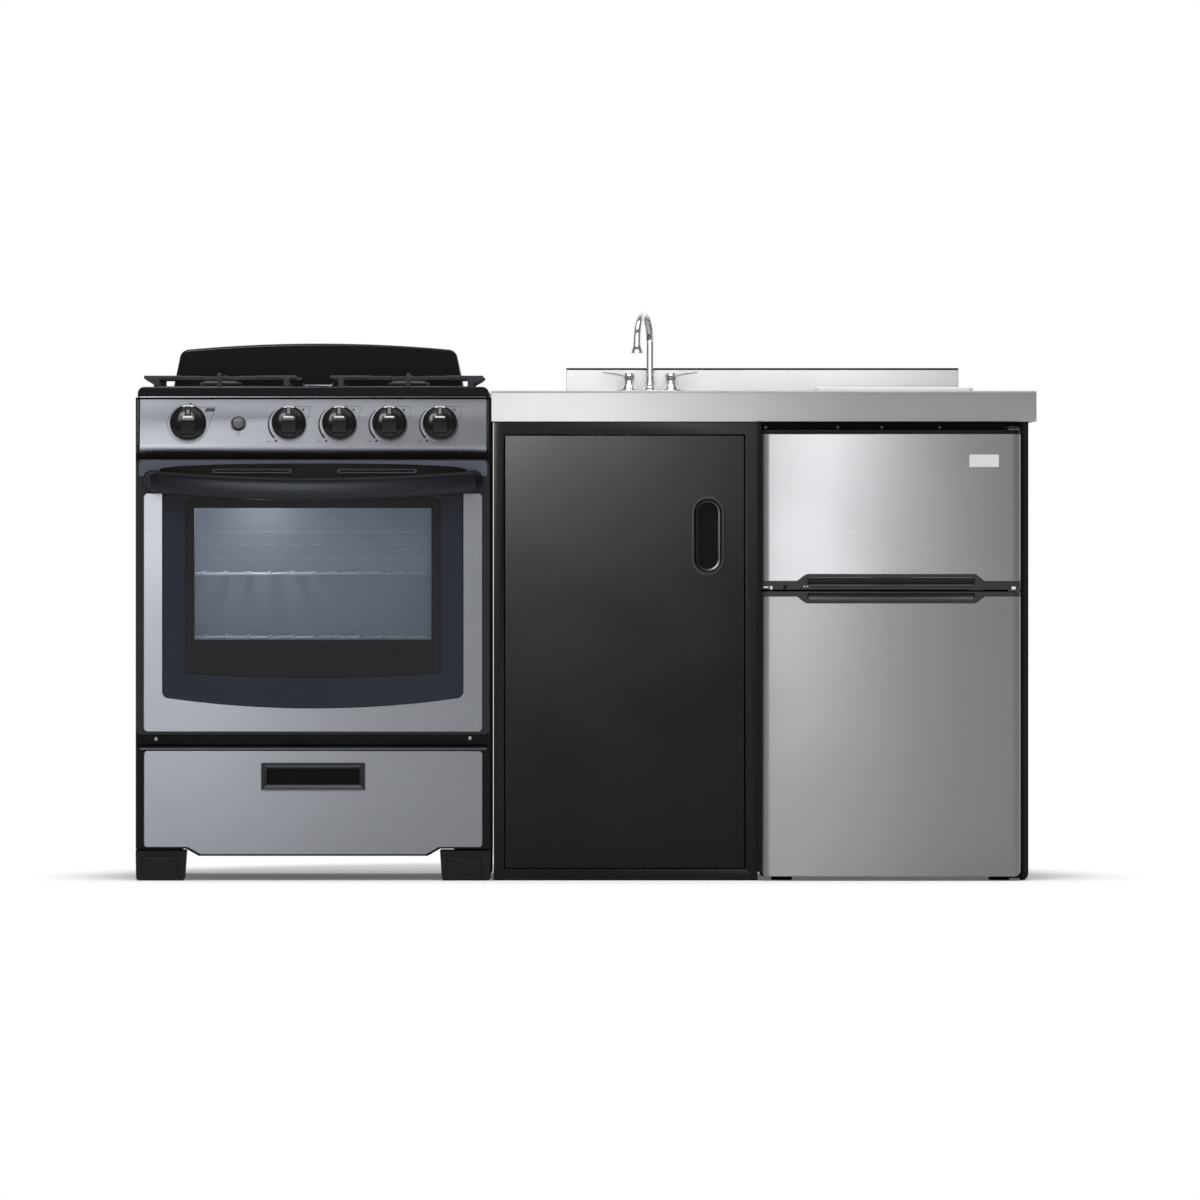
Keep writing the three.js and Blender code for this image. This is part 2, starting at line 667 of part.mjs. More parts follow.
/** The hollow for the fingers behind the handle, with an arched upper edge. */
function scoop() {
  const half = SCOOP_WIDTH / 2;
  const crown = SCOOP_SIDE_TOP + (SCOOP_RISE * 4) / 3;
  const shape = new THREE.Shape();
  shape.moveTo(rangeX - half, SCOOP_BOTTOM);
  shape.lineTo(rangeX + half, SCOOP_BOTTOM);
  shape.lineTo(rangeX + half, SCOOP_SIDE_TOP);
  const full = half * SCOOP_FULLNESS;
  shape.bezierCurveTo(rangeX + full, crown, rangeX - full, crown, rangeX - half, SCOOP_SIDE_TOP);
  return frontPlate(shape, frameFrontY - OVER, frameFrontY + SCOOP_DEPTH, 8);
}

function doorFrame() {
  const slab = frontPlate(roundedShape(rangeX - doorHalf, rangeX + doorHalf, DOOR_BOTTOM, DOOR_TOP,
    DOOR_EDGE_RADIUS), frameFrontY, frameBackY);
  const bezel = frontPlate(bezelShape(0), bezelFrontY, frameFrontY + OVER, 6);
  const window = saggingShape(rangeX, WINDOW_WIDTH, WINDOW_SIDE_BOTTOM, WINDOW_SAG, WINDOW_TOP,
    WINDOW_RADIUS);
  const recess = frontPlate(window, bezelFrontY - OVER, windowFloorY, 6);
  const opening = centredBox(rangeX, GLASS_WIDTH, bezelFrontY, 0, GLASS_BOTTOM, GLASS_TOP);
  const rebate = centredBox(rangeX, GLASS_WIDTH + 2 * GLASS_LAP, windowFloorY + GLASS_THICKNESS, 0,
    GLASS_BOTTOM - GLASS_LAP, GLASS_TOP + GLASS_LAP);
  return cut(union(slab, bezel), recess, opening, rebate, scoop(), hingePockets(),
    hingePins(DOOR_PIVOT_RADIUS + CLEAR));
}

function doorTrim() {
  const half = TRIM_WIDTH / 2;
  const outline = roundedShape(rangeX - half, rangeX + half, TRIM_BOTTOM, TRIM_TOP, TRIM_RADIUS);
  const plate = frontPlate(outline, trimBackY - TRIM_THICKNESS, trimBackY);
  const mouth = centredBox(rangeX, BEZEL_WIDTH + 2 * CLEAR, -THROUGH, 0, TRIM_TOP - TRIM_MOUTH,
    TRIM_TOP + OVER);
  return cut(plate, frontPlate(bezelShape(CLEAR), -THROUGH, 0, 6), mouth);
}

function doorGlass() {
  const half = GLASS_WIDTH / 2 + GLASS_LAP - RUN;
  const lap = GLASS_LAP - RUN;
  return box(rangeX - half, rangeX + half, glassFrontY, glassFrontY + GLASS_THICKNESS, GLASS_BOTTOM - lap,
    GLASS_TOP + lap);
}

function doorInnerPanel() {
  const half = doorHalf - INNER_PANEL_INSET;
  const lap = INNER_PANEL_LAP;
  const outline = roundedShape(rangeX - half, rangeX + half, DOOR_BOTTOM + INNER_PANEL_INSET,
    DOOR_TOP - INNER_PANEL_INSET, DOOR_EDGE_RADIUS);
  const slab = frontPlate(outline, panelFrontY, -DOOR_GAP);
  const opening = centredBox(rangeX, GLASS_WIDTH - 2 * lap, panelFrontY - OVER, 0, GLASS_BOTTOM + lap,
    GLASS_TOP - lap);
  return cut(slab, opening, hingePockets());
}

/** A bar that bows out from the door and sags in the middle; its ends stand square on the door. */
function doorHandle() {
  const halfThickness = HANDLE_THICKNESS / 2;
  const halfSpan = HANDLE_LENGTH / 2 - halfThickness;
  const reach = HANDLE_REACH - halfThickness;
  const section = roundedSection(halfThickness, HANDLE_HEIGHT / 2, HANDLE_EDGE_RADIUS);
  const spanAt = (angle) => {
    const across = Math.cos(angle);
    return -Math.sign(across) * Math.abs(across) ** HANDLE_SQUARENESS * halfSpan;
  };
  const reachAt = (angle) => Math.sqrt(Math.abs(Math.sin(angle))) * reach;
  const step = 0.01; // radians either side, for the bar's direction
  const directionAt = (angle) => new THREE.Vector2(
    spanAt(angle + step) - spanAt(angle - step),
    reachAt(angle - step) - reachAt(angle + step),
  ).normalize();
  const rings = [];
  for (let i = 0; i <= HANDLE_STATIONS; i += 1) {
    const first = i === 0;
    const end = first || i === HANDLE_STATIONS;
    const angle = (i / HANDLE_STATIONS) * Math.PI;
    const x = end ? (first ? -halfSpan : halfSpan) : spanAt(angle);
    const out = end ? 0 : reachAt(angle);
    const z = HANDLE_END_Z - HANDLE_SAG * (1 - (x / halfSpan) ** 2);
    const along = end ? new THREE.Vector2(0, first ? -1 : 1) : directionAt(angle);
    rings.push(section.map(([a, b]) => new THREE.Vector3(
      rangeX + x + a * along.y,
      trimBackY - out - a * along.x,
      z + b,
    )));
  }
  return loft(rings);
}

// ---- range: storage drawer ---------------------------------------------------------------------------

const drawerFrontY = -DOOR_GAP - DRAWER_FRONT_DEPTH;

/** The drawer front's outline: its lower edge dips between the feet. */
function drawerOutline(grow, top) {
  const half = DRAWER_PLATE_WIDTH / 2 + grow;
  const low = DRAWER_PLATE_LOW_WIDTH / 2 + grow;
  const side = DRAWER_PLATE_SIDE_BOTTOM - grow;
  const bottom = DRAWER_PLATE_BOTTOM - grow;
  return polygon([
    [rangeX - half, side], [rangeX - low - DRAWER_PLATE_SLOPE, side], [rangeX - low, bottom],
    [rangeX + low, bottom], [rangeX + low + DRAWER_PLATE_SLOPE, side], [rangeX + half, side],
    [rangeX + half, top], [rangeX - half, top],
  ]);
}

function pullHole() {
  const half = (PULL_HEIGHT - PULL_RIM) / 2;
  return centredBox(rangeX, PULL_WIDTH - PULL_RIM, -THROUGH, -DOOR_GAP - PULL_WALL, PULL_Z - half,
    PULL_Z + half);
}

function drawerFront() {
  const y1 = drawerFrontY - CLEAR;
  const plate = frontPlate(drawerOutline(0, DRAWER_PLATE_TOP), y1 - DRAWER_PLATE_THICKNESS, y1);
  return cut(plate, pullHole());
}

/** The open tray with its black front, which shows as a border round the steel plate. */
function drawerBox() {
  const border = (DOOR_WIDTH - DRAWER_PLATE_WIDTH) / 2;
  const panel = frontPlate(drawerOutline(DRAWER_BORDER, DRAWER_FRONT_TOP), drawerFrontY, -DOOR_GAP);
  const cheekBottom = DRAWER_PLATE_SIDE_BOTTOM - DRAWER_BORDER;
  const cheeks = [-1, 1].map((side) => {
    const x = rangeX + side * (DRAWER_PLATE_WIDTH / 2 + border / 2);
    return centredBox(x, border, drawerFrontY, -DOOR_GAP, cheekBottom, DRAWER_FRONT_TOP);
  });
  const z0 = DRAWER_BOX_FLOOR;
  const z1 = z0 + DRAWER_BOX_HEIGHT;
  const outer = centredBox(rangeX, DRAWER_BOX_WIDTH, -DOOR_GAP - OVER, DRAWER_BOX_DEPTH, z0, z1);
  const inner = centredBox(rangeX, DRAWER_BOX_WIDTH - 2 * DRAWER_WALL, CLEAR, DRAWER_BOX_DEPTH - DRAWER_WALL,
    z0 + DRAWER_WALL, z1 + OVER);
  return cut(union(panel, ...cheeks, outer), inner, pullHole());
}

function drawerPull() {
  const backY = drawerFrontY - 2 * CLEAR - DRAWER_PLATE_THICKNESS;
  const faceY = backY - PULL_WALL;
  const floorY = faceY + PULL_DEPTH;
  const part = (inset, y0, y1) => centredBox(rangeX, PULL_WIDTH - 2 * inset, y0, y1,
    PULL_Z - PULL_HEIGHT / 2 + inset, PULL_Z + PULL_HEIGHT / 2 - inset);
  const flange = part(0, faceY, backY);
  const cup = part(PULL_RIM / 2 + CLEAR, backY - OVER, floorY + PULL_WALL);
  return cut(union(flange, cup), part(PULL_RIM, faceY - OVER, floorY));
}

// ---- range: control panel, valves and knobs ----------------------------------------------------------

const panelFaceY = (z) => PANEL_TOP_Y - (PANEL_TOP - z) * Math.tan(PANEL_TILT);
const TILT_DEGREES = 90 - THREE.MathUtils.radToDeg(PANEL_TILT);

/** Turns a solid made about +Z onto the panel, z = 0 on its face, at an offset from its middle. */
const onPanel = (body, offset) => body.rotate([TILT_DEGREES, 0, 0])
  .translate([rangeX + offset, panelFaceY(KNOB_Z), KNOB_Z]);

/** The same place as a group, for pieces that are modelled about their own axis. */
function panelGroup(offset, ...meshes) {
  const group = new THREE.Group();
  group.position.set(rangeX + offset, panelFaceY(KNOB_Z), KNOB_Z);
  group.rotation.x = Math.PI / 2 - PANEL_TILT;
  group.add(...meshes);
  return group;
}

function panelOutline(inset) {
  const top = PANEL_TOP - inset;
  const bottom = PANEL_BOTTOM + inset;
  const back = inset > 0 ? OVER : -CLEAR;
  const face = (z) => panelFaceY(z) + inset / Math.cos(PANEL_TILT);
  const radius = PANEL_EDGE_RADIUS - inset;
  const shape = new THREE.Shape();
  shape.moveTo(back, bottom);
  shape.lineTo(back, top);
  shape.lineTo(face(top), top);
  shape.lineTo(face(bottom + radius), bottom + radius);
  shape.quadraticCurveTo(face(bottom), bottom, face(bottom) + radius, bottom);
  return shape;
}

function controlPanel() {
  const half = PANEL_WIDTH / 2;
  const innerHalf = half - PANEL_SHEET;
  const outer = sidePlate(panelOutline(0), rangeX - half, rangeX + half);
  const inner = sidePlate(panelOutline(PANEL_SHEET), rangeX - innerHalf, rangeX + innerHalf);
  const reach = 4 * PANEL_SHEET;
  const hole = (radius, sides, offset) => onPanel(bar(radius, -reach, reach, sides), offset);
  const stemHoles = Object.values(KNOB_OFFSETS).map((x) => hole(STEM_RADIUS + STEM_HOLE_CLEAR, 12, x));
  return cut(outer, inner, ...stemHoles, hole(BUTTON_RADIUS + STEM_CLEAR, 20, BUTTON_OFFSET));
}

/** The gas pipe across the front with a valve behind each knob; a plate carries the button's barrel. */
function gasManifold() {
  const axisZ = -VALVE_FACE - VALVE_SIZE / 2;
  const y = panelFaceY(KNOB_Z) - axisZ * Math.cos(PANEL_TILT);
  const z = KNOB_Z + axisZ * Math.sin(PANEL_TILT);
  const pipe = barAlongX(MANIFOLD_RADIUS, rangeX - bayHalf + CLEAR, rangeX + bayHalf - CLEAR, y, z);
  const half = VALVE_SIZE / 2;
  const block = (x) => onPanel(box(-half, half, -half, half, -VALVE_FACE - VALVE_SIZE, -VALVE_FACE), x);
  const seat = (x, travel) => {
    const bottom = -VALVE_FACE - STEM_SEAT - travel - OVER;
    return onPanel(bar(STEM_RADIUS + STEM_CLEAR, bottom, 0, 16), x);
  };
  const valvePlaces = Object.values(KNOB_OFFSETS);
  const blocks = [...valvePlaces, BUTTON_OFFSET].map(block);
  const seats = valvePlaces.map((x) => seat(x, KNOB_TRAVEL));
  return cut(union(pipe, ...blocks), ...seats, seat(BUTTON_OFFSET, BUTTON_TRAVEL));
}

const valveStem = () => bar(STEM_RADIUS, -VALVE_FACE - STEM_SEAT, KNOB_LIFT + STEM_IN_KNOB, 16);

/** A domed knob with an upright grip block, bored for its stem. */
function knob(radius) {
  const z0 = KNOB_LIFT;
  const skirtTop = z0 + KNOB_SKIRT;
  const domeTop = z0 + KNOB_DOME;
  const dome = turned([[0, z0], [radius, z0], [radius, skirtTop],
    [radius - KNOB_SHOULDER.inset, skirtTop + KNOB_SHOULDER.rise], [radius - KNOB_CROWN_INSET, domeTop],
    [0, domeTop + BEVEL]], 24);
  const half = KNOB_GRIP_WIDTH / 2;
  const length = radius - KNOB_GRIP_INSET;
  const outline = roundedShape(-half, half, -length, length, KNOB_GRIP_INSET);
  const grip = floorPlate(outline, z0 + OVER, z0 + KNOB_GRIP_HEIGHT);
  const bore = bar(STEM_RADIUS + STEM_CLEAR, z0 - OVER, z0 + STEM_IN_KNOB + OVER, 16);
  return cut(union(dome, grip), bore);
}

/** A round push button with a groove across its face and a barrel down to the igniter. */
function lightButton() {
  const r = BUTTON_RADIUS;
  const cap = turned([[0, -BUTTON_DEPTH], [r, -BUTTON_DEPTH], [r, BUTTON_PROUD - BEVEL],
    [r - BEVEL, BUTTON_PROUD], [0, BUTTON_PROUD]]);
  const barrel = bar(STEM_RADIUS, -VALVE_FACE - STEM_SEAT, OVER - BUTTON_DEPTH, 16);
  const half = BUTTON_GROOVE.width / 2;
  const reach = r - BUTTON_GROOVE.inset;
  const groove = box(-reach, reach, -half, half, BUTTON_PROUD - BUTTON_GROOVE.depth, BUTTON_PROUD + OVER);
  return cut(union(cap, barrel), groove);
}

// ---- range: cooktop, burners, grates and backguard ---------------------------------------------------

const cookBottom = RANGE_BODY_TOP + CLEAR;
const cookTop = cookBottom + COOKTOP_THICKNESS;
const wellFloor = cookTop - COOKTOP_WELL;
const grateTop = RANGE_BODY_TOP + GRATE_HEIGHT;
const burnerPlaces = [
  ["burner_front_left", -1, BURNER_FRONT_Y, BURNER_RADII.front],
  ["burner_front_right", 1, BURNER_FRONT_Y, BURNER_RADII.front],
  ["burner_rear_left", -1, BURNER_REAR_Y, BURNER_RADII.rear],
  ["burner_rear_right", 1, BURNER_REAR_Y, BURNER_RADII.rear],
];

function cooktop() {
  const half = COOKTOP_WIDTH / 2;
  const back = BODY_DEPTH - COOKTOP_BACK_GAP;
  const r = COOKTOP_EDGE_RADIUS;
  const slab = frontPlate(roundedShape(rangeX - half, rangeX + half, cookBottom, cookTop, [0, 0, r, r]),
    COOKTOP_FRONT, back);
  const wellHalf = half - COOKTOP_RIM;
  const wellShape = roundedShape(rangeX - wellHalf, rangeX + wellHalf, COOKTOP_FRONT + COOKTOP_RIM,
    GRATE_BACK + COOKTOP_RIM / 2, COOKTOP_WELL_RADIUS);
  const well = floorPlate(wellShape, wellFloor, cookTop + OVER);
  const under = centredBox(rangeX, 2 * (half - COOKTOP_LIP), COOKTOP_FRONT + COOKTOP_LIP, back - COOKTOP_LIP,
    cookBottom - OVER, wellFloor - COOKTOP_SHEET);
  const holes = burnerPlaces.map(([, side, y]) => bar(BURNER_HOLE_RADIUS, cookBottom - OVER, cookTop, 16)
    .translate([rangeX + side * BURNER_SPREAD, y, 0]));
  return cut(slab, well, under, ...holes);
}

/** A burner: a throat through the cooktop, a flanged ring and a domed cap. */
function burner(side, y, radius) {
  const z = wellFloor + CLEAR;
  const head = radius - BURNER_HEAD.inset;
  const cap = radius - BURNER_CAP.inset;
  const profile = [
    [0, z - BURNER_THROAT.depth], [BURNER_THROAT.radius, z - BURNER_THROAT.depth],
    [BURNER_HOLE_RADIUS - BURNER_THROAT.clear, z],
    [radius, z], [radius, z + BURNER_HEAD.flange - BEVEL],
    [head, z + BURNER_HEAD.flange], [head, z + BURNER_HEAD.height],
    [cap, z + BURNER_HEAD.height], [cap, z + BURNER_CAP.rim],
    [radius - BURNER_CAP.shoulder, z + BURNER_CAP.height - BEVEL], [0, z + BURNER_CAP.height],
  ];
  return turned(profile, 16).translate([rangeX + side * BURNER_SPREAD, y, 0]);
}

/** Half of the grate set, over one pair of burners. */
function grate(side) {
  const at = (offset) => rangeX + side * offset;
  const parts = [];
  const add = (a, b, y0, y1, z0, z1 = grateTop) => {
    parts.push(box(Math.min(at(a), at(b)), Math.max(at(a), at(b)), y0, y1, z0, z1));
  };
  const z0 = wellFloor + CLEAR;
  const low = grateTop - GRATE_BAR;
  const half = GRATE_BAR / 2;
  const lane = [BURNER_SPREAD - half, BURNER_SPREAD + half];
  const outerLeg = GRATE_OUTER - GRATE_LEG_INSETS.outer;
  const innerLeg = GRATE_INNER + GRATE_LEG_INSETS.inner;
  const middleY = (BURNER_FRONT_Y + BURNER_REAR_Y - GRATE_BAR) / 2;
  const rows = [GRATE_FRONT, GRATE_BACK - GRATE_BAR];
  // side bars and the bar between the burners
  add(outerLeg - GRATE_BAR, outerLeg, rows[0], GRATE_BACK, low);
  add(innerLeg, innerLeg + GRATE_BAR, rows[0], GRATE_BACK, low);
  add(innerLeg, outerLeg, middleY, middleY + GRATE_BAR, low);
  for (const y of rows) {
    const y1 = y + GRATE_BAR;
    // legs, the low tie between them, end stubs and their gussets
    add(outerLeg - GRATE_LEG, outerLeg, y, y1, z0);
    add(innerLeg, innerLeg + GRATE_LEG, y, y1, z0);
    add(innerLeg, outerLeg, y, y1, z0 + OVER, z0 + OVER + GRATE_BAR);
    const stubBottom = grateTop - GRATE_STUB_HEIGHT;
    add(BURNER_SPREAD + FINGER_GAPS.edge, GRATE_OUTER, y, y1, stubBottom);
    add(GRATE_INNER, BURNER_SPREAD - FINGER_GAPS.edge, y, y1, stubBottom);
    const { height, tip } = GRATE_GUSSET;
    const reach = GRATE_LEG_INSETS.outer;
    const gusset = [[0, 0], [reach, 0], [reach - tip, -tip], [0, -height]]
      .map(([x, z]) => [at(outerLeg - OVER + x), stubBottom + OVER + z]);
    parts.push(frontPlate(polygon(gusset), y, y1));
    // the upright in the middle of each end
    add(...lane, y, y1, z0 + OVER, grateTop + FRONT_POST_RISE);
  }
  // four fingers towards each burner
  const fingers = (y, gap, near, far) => {
    add(innerLeg, BURNER_SPREAD - gap, y - half, y + half, low);
    add(BURNER_SPREAD + gap, outerLeg, y - half, y + half, low);
    add(...lane, near, y - gap, low);
    add(...lane, y + gap, far, low);
  };
  fingers(BURNER_FRONT_Y, FINGER_GAPS.front, rows[0], middleY + OVER);
  fingers(BURNER_REAR_Y, FINGER_GAPS.rear, middleY + GRATE_BAR - OVER, GRATE_BACK);
  return union(...parts);
}

/** A hollow upright with sloping ends and an arched top, open at the back. */
function backguard() {
  const z0 = cookTop + CLEAR;
  const { lean, rise } = BACKGUARD_CORNER;
  const outline = (inset) => {
    const low = BACKGUARD_BOTTOM_WIDTH / 2 - inset;
    const high = BACKGUARD_TOP_WIDTH / 2 - inset;
    const top = RANGE_BODY_TOP + BACKGUARD_SIDE_HEIGHT - inset;
    const r = BACKGUARD_RADIUS - inset;
    const shape = new THREE.Shape();
    shape.moveTo(rangeX - low, z0 + inset);
    shape.lineTo(rangeX + low, z0 + inset);
    shape.lineTo(rangeX + high, top - r);
    shape.quadraticCurveTo(rangeX + high - lean, top, rangeX + high - r, top + rise);
    shape.quadraticCurveTo(rangeX, top + 2 * BACKGUARD_ARCH, rangeX - high + r, top + rise);
    shape.quadraticCurveTo(rangeX - high + lean, top, rangeX - high, top - r);
    return shape;
  };
  const y1 = BODY_DEPTH - BACKGUARD_WALL_GAP;
  const y0 = y1 - BACKGUARD_DEPTH;
  const hollow = frontPlate(outline(BACKGUARD_SHELL), y0 + BACKGUARD_SHELL, y1 + OVER, 6);
  return cut(frontPlate(outline(0), y0, y1, 6), hollow);
}

// ---- counter, sink and tap ---------------------------------------------------------------------------

const tapX = counterLeft + TAP_FROM_LEFT;
const counterUnder = COUNTER_TOP - COUNTER_SHEET;
const deckZ = COUNTER_TOP + CLEAR;
const tapSeatZ = deckZ + TAP_PLATE_HEIGHT - OVER; // foot of what stands on the tap's plate, sunk into it
const sinkBack = SINK_FRONT + SINK_DEPTH;
const sinkMiddleY = (SINK_FRONT + sinkBack) / 2;
const sinkShape = (grow) => roundedShape(tapX - SINK_WIDTH / 2 - grow, tapX + SINK_WIDTH / 2 + grow,
  SINK_FRONT - grow, sinkBack + grow, Math.max(SINK_RADIUS + grow, 1));

function countertop() {
  const bottom = COUNTER_TOP - APRON_HEIGHT;
  const corners = [0, 0, 0, COUNTER_EDGE_RADIUS];
  const profile = roundedShape(COUNTER_FRONT, COUNTER_BACK, bottom, COUNTER_TOP, corners);
  const outer = sidePlate(profile, counterLeft, counterRight);
  const under = box(counterLeft + COUNTER_SHEET, counterRight - COUNTER_SHEET, COUNTER_FRONT + COUNTER_SHEET,
    COUNTER_BACK - COUNTER_SHEET, bottom - OVER, counterUnder);
  const splash = centredBox((counterLeft + counterRight) / 2, SPLASH_WIDTH, COUNTER_BACK - SPLASH_THICKNESS,
    COUNTER_BACK, COUNTER_TOP - OVER, COUNTER_TOP + SPLASH_HEIGHT);
  return cut(union(outer, splash), under, floorPlate(sinkShape(0), counterUnder - OVER, COUNTER_TOP + OVER));
}

const bowlTop = counterUnder - CLEAR;
const bowlBottom = bowlTop - SINK_BOWL;

function sinkBowl() {
  const flange = floorPlate(sinkShape(SINK_FLANGE), bowlTop - SINK_WALL, bowlTop);
  const wall = floorPlate(sinkShape(SINK_WALL), bowlBottom, bowlTop);
  const hollow = floorPlate(sinkShape(0), bowlBottom + SINK_WALL, bowlTop + OVER);
  const drain = bar(DRAIN_RADIUS, bowlBottom - OVER, bowlBottom + SINK_WALL + OVER, 20);
  return cut(union(flange, wall), hollow, drain.translate([tapX, sinkMiddleY, 0]));
}

/** The lift-out basket: a flange on the bowl's floor and a cup down the drain. */
function sinkStrainer() {
  const z = bowlBottom + SINK_WALL + CLEAR;
  const cupZ = z - STRAINER_CUP;
  const r = DRAIN_RADIUS - RUN;
  const rim = DRAIN_RADIUS + STRAINER_LAP;
  const outside = [[0, cupZ], [r - STRAINER_TAPER, cupZ], [r, z], [rim, z], [rim, z + STRAINER_FLANGE]];
  const inside = [[r - STRAINER_WALL, z + STRAINER_FLANGE], [r - 2 * STRAINER_WALL, cupZ + STRAINER_WALL]];
  const { radius, height } = STRAINER_KNOB;
  const middle = [[radius, cupZ + STRAINER_WALL], [radius - BEVEL, z + height], [0, z + height]];
  return turned([...outside, ...inside, ...middle], 20).translate([tapX, sinkMiddleY, 0]);
}

/** Waste pipe: a flange under the bowl, a U bend and a run to the cabinet's back. */
function drainTrap() {
  const z1 = bowlBottom - CLEAR;
  const r = 2 * TRAP_RADIUS;
  const y0 = sinkMiddleY;
  const y1 = y0 + 2 * r;
  const y2 = y1 + r;
  const bendZ = z1 - TRAP_DROP;
  const runZ = bendZ + 2 * r;
  const back = CABINET_DEPTH - CABINET_WALL - CLEAR;
  const cupBottom = z1 - STRAINER_CUP;
  const at = (y, z) => new THREE.Vector3(tapX, y, z);
  const route = new THREE.CurvePath();
  const line = (a, b) => route.add(new THREE.LineCurve3(a, b));
  const arc = (a, b, c) => route.add(new THREE.QuadraticBezierCurve3(a, b, c));
  line(at(y0, cupBottom - TRAP_CUP_FLOOR + 2 * OVER), at(y0, bendZ + r));
  arc(at(y0, bendZ + r), at(y0, bendZ), at(y0 + r, bendZ));
  arc(at(y0 + r, bendZ), at(y1, bendZ), at(y1, bendZ + r));
  arc(at(y1, bendZ + r), at(y1, runZ), at(y2, runZ));
  line(at(y2, runZ), at(back, runZ));
  const cupOutside = bar(DRAIN_RADIUS + TRAP_CUP_WALL, cupBottom - TRAP_CUP_FLOOR, z1, 20);
  const cup = cut(cupOutside, bar(DRAIN_RADIUS, cupBottom, z1 + OVER, 20));
  return union(tube(route, TRAP_RADIUS, 30, 8), cup.translate([tapX, y0, 0]));
}

/** Oval plate with a low post under the spout and a tapered base under each lever. */
function faucetBase() {
  const half = TAP_PLATE_LENGTH / 2;
  const y = TAP_PLATE_WIDTH / 2;
  const outline = roundedShape(tapX - half, tapX + half, TAP_Y - y, TAP_Y + y, y - BEVEL);
  const plate = floorPlate(outline, deckZ, tapSeatZ + OVER, 4);
  const z = tapSeatZ;
  const postTop = z + TAP_POST_HEIGHT;
  const baseTop = z + LEVER_WAIST_HEIGHT - LEVER_SEAT_DROP;
  const post = turned([[0, z], [SPOUT_RADIUS + TAP_POST_FLARE, z], [SPOUT_RADIUS + TAP_POST_WALL, postTop],
    [0, postTop]], 16);
  const base = () => turned([[0, z], [LEVER_BASE_RADIUS, z], [LEVER_WAIST_RADIUS + LEVER_SEAT_RIM, baseTop],
    [0, baseTop]], 16);
  const bases = [-1, 1].map((side) => base().translate([tapX + side * TAP_SPREAD / 2, TAP_Y, 0]));
  const bore = bar(SPOUT_RADIUS + STEM_CLEAR, z + TAP_BORE_FLOOR, postTop + OVER, 16);
  return cut(union(plate, post.translate([tapX, TAP_Y, 0]), ...bases), bore.translate([tapX, TAP_Y, 0]));
}

/** The gooseneck about its own axis at the origin, reaching towards -Y, with the aerator on its end. */
function faucetSpout() {
  const z0 = tapSeatZ + TAP_BORE_FLOOR + CLEAR;
  const radius = SPOUT_REACH / 2;
  const archZ = COUNTER_TOP + SPOUT_HEIGHT - SPOUT_RADIUS - radius;
  const crownZ = archZ + radius;
  const tipZ = archZ - SPOUT_DROP;
  const kappa = 0.5523 * radius; // a quarter circle as one cubic curve
  const at = (reach, z) => new THREE.Vector3(0, -reach, z);
  const route = new THREE.CurvePath();
  const line = (a, b) => route.add(new THREE.LineCurve3(a, b));
  const arc = (a, b, c, d) => route.add(new THREE.CubicBezierCurve3(a, b, c, d));
  line(at(0, z0), at(0, archZ));
  arc(at(0, archZ), at(0, archZ + kappa), at(radius - kappa, crownZ), at(radius, crownZ));
  arc(at(radius, crownZ), at(radius + kappa, crownZ), at(SPOUT_REACH, archZ + kappa), at(SPOUT_REACH, archZ));
  line(at(SPOUT_REACH, archZ), at(SPOUT_REACH, tipZ));
  const mouth = tipZ - AERATOR_LENGTH + AERATOR_SHOULDER;
  const top = mouth + AERATOR_LENGTH;
  const inner = AERATOR_MOUTH_RADIUS - AERATOR_RIM;
  const recess = [[0, mouth + AERATOR_RECESS], [inner, mouth + AERATOR_RECESS], [inner, mouth]];
  const rim = [[AERATOR_MOUTH_RADIUS, mouth], [AERATOR_MOUTH_RADIUS - BEVEL, mouth + AERATOR_LIP]];
  const shoulder = [AERATOR_TOP_RADIUS + AERATOR_SHOULDER, top - AERATOR_SHOULDER];
  const neck = [shoulder, [AERATOR_TOP_RADIUS, top], [0, top]];
  const aerator = turned([...recess, ...rim, ...neck], 16).translate([0, -SPOUT_REACH, 0]);
  return union(tube(route, SPOUT_RADIUS, 32, 10), aerator);
}

/** A lever about its own axis at the origin; its blade points along +X * side. */
function faucetLever(side) {
  const z0 = tapSeatZ + LEVER_WAIST_HEIGHT - LEVER_SEAT_DROP + CLEAR;
  const z1 = deckZ + LEVER_HUB_HEIGHT;
  const top = z1 + LEVER_THICKNESS;
  const hub = turned([
    [0, z0], [LEVER_WAIST_RADIUS, z0], [LEVER_WAIST_RADIUS, z0 + LEVER_COLLAR],
    [LEVER_HUB_RADIUS, z1 - LEVER_COLLAR], [LEVER_HUB_RADIUS, z1 + LEVER_COLLAR / 2],
    [LEVER_HUB_RADIUS - LEVER_CROWN_INSET, top], [0, top + BEVEL],
  ], 16);
  const blade = loft(LEVER_STATIONS.map(({ along, narrower, up, thinner }) => {
    const halfThickness = LEVER_THICKNESS / 2 - thinner;
    return roundedSection(LEVER_HUB_RADIUS - narrower, halfThickness, halfThickness - CLEAR)
      .map(([a, b]) => new THREE.Vector3(side * along * LEVER_LENGTH, a, z1 + up + b));
  }));
  return union(hub, blade);
}

function choppingBoard() {
  const x1 = counterRight - BOARD_FROM_RIGHT;
  const y1 = COUNTER_BACK - SPLASH_THICKNESS - BOARD_FROM_SPLASH;
  const outline = roundedShape(x1 - BOARD_WIDTH, x1, y1 - BOARD_DEPTH, y1, BOARD_RADIUS);
  return floorPlate(outline, deckZ, deckZ + BOARD_THICKNESS);
}

// ---- cabinet -----------------------------------------------------------------------------------------

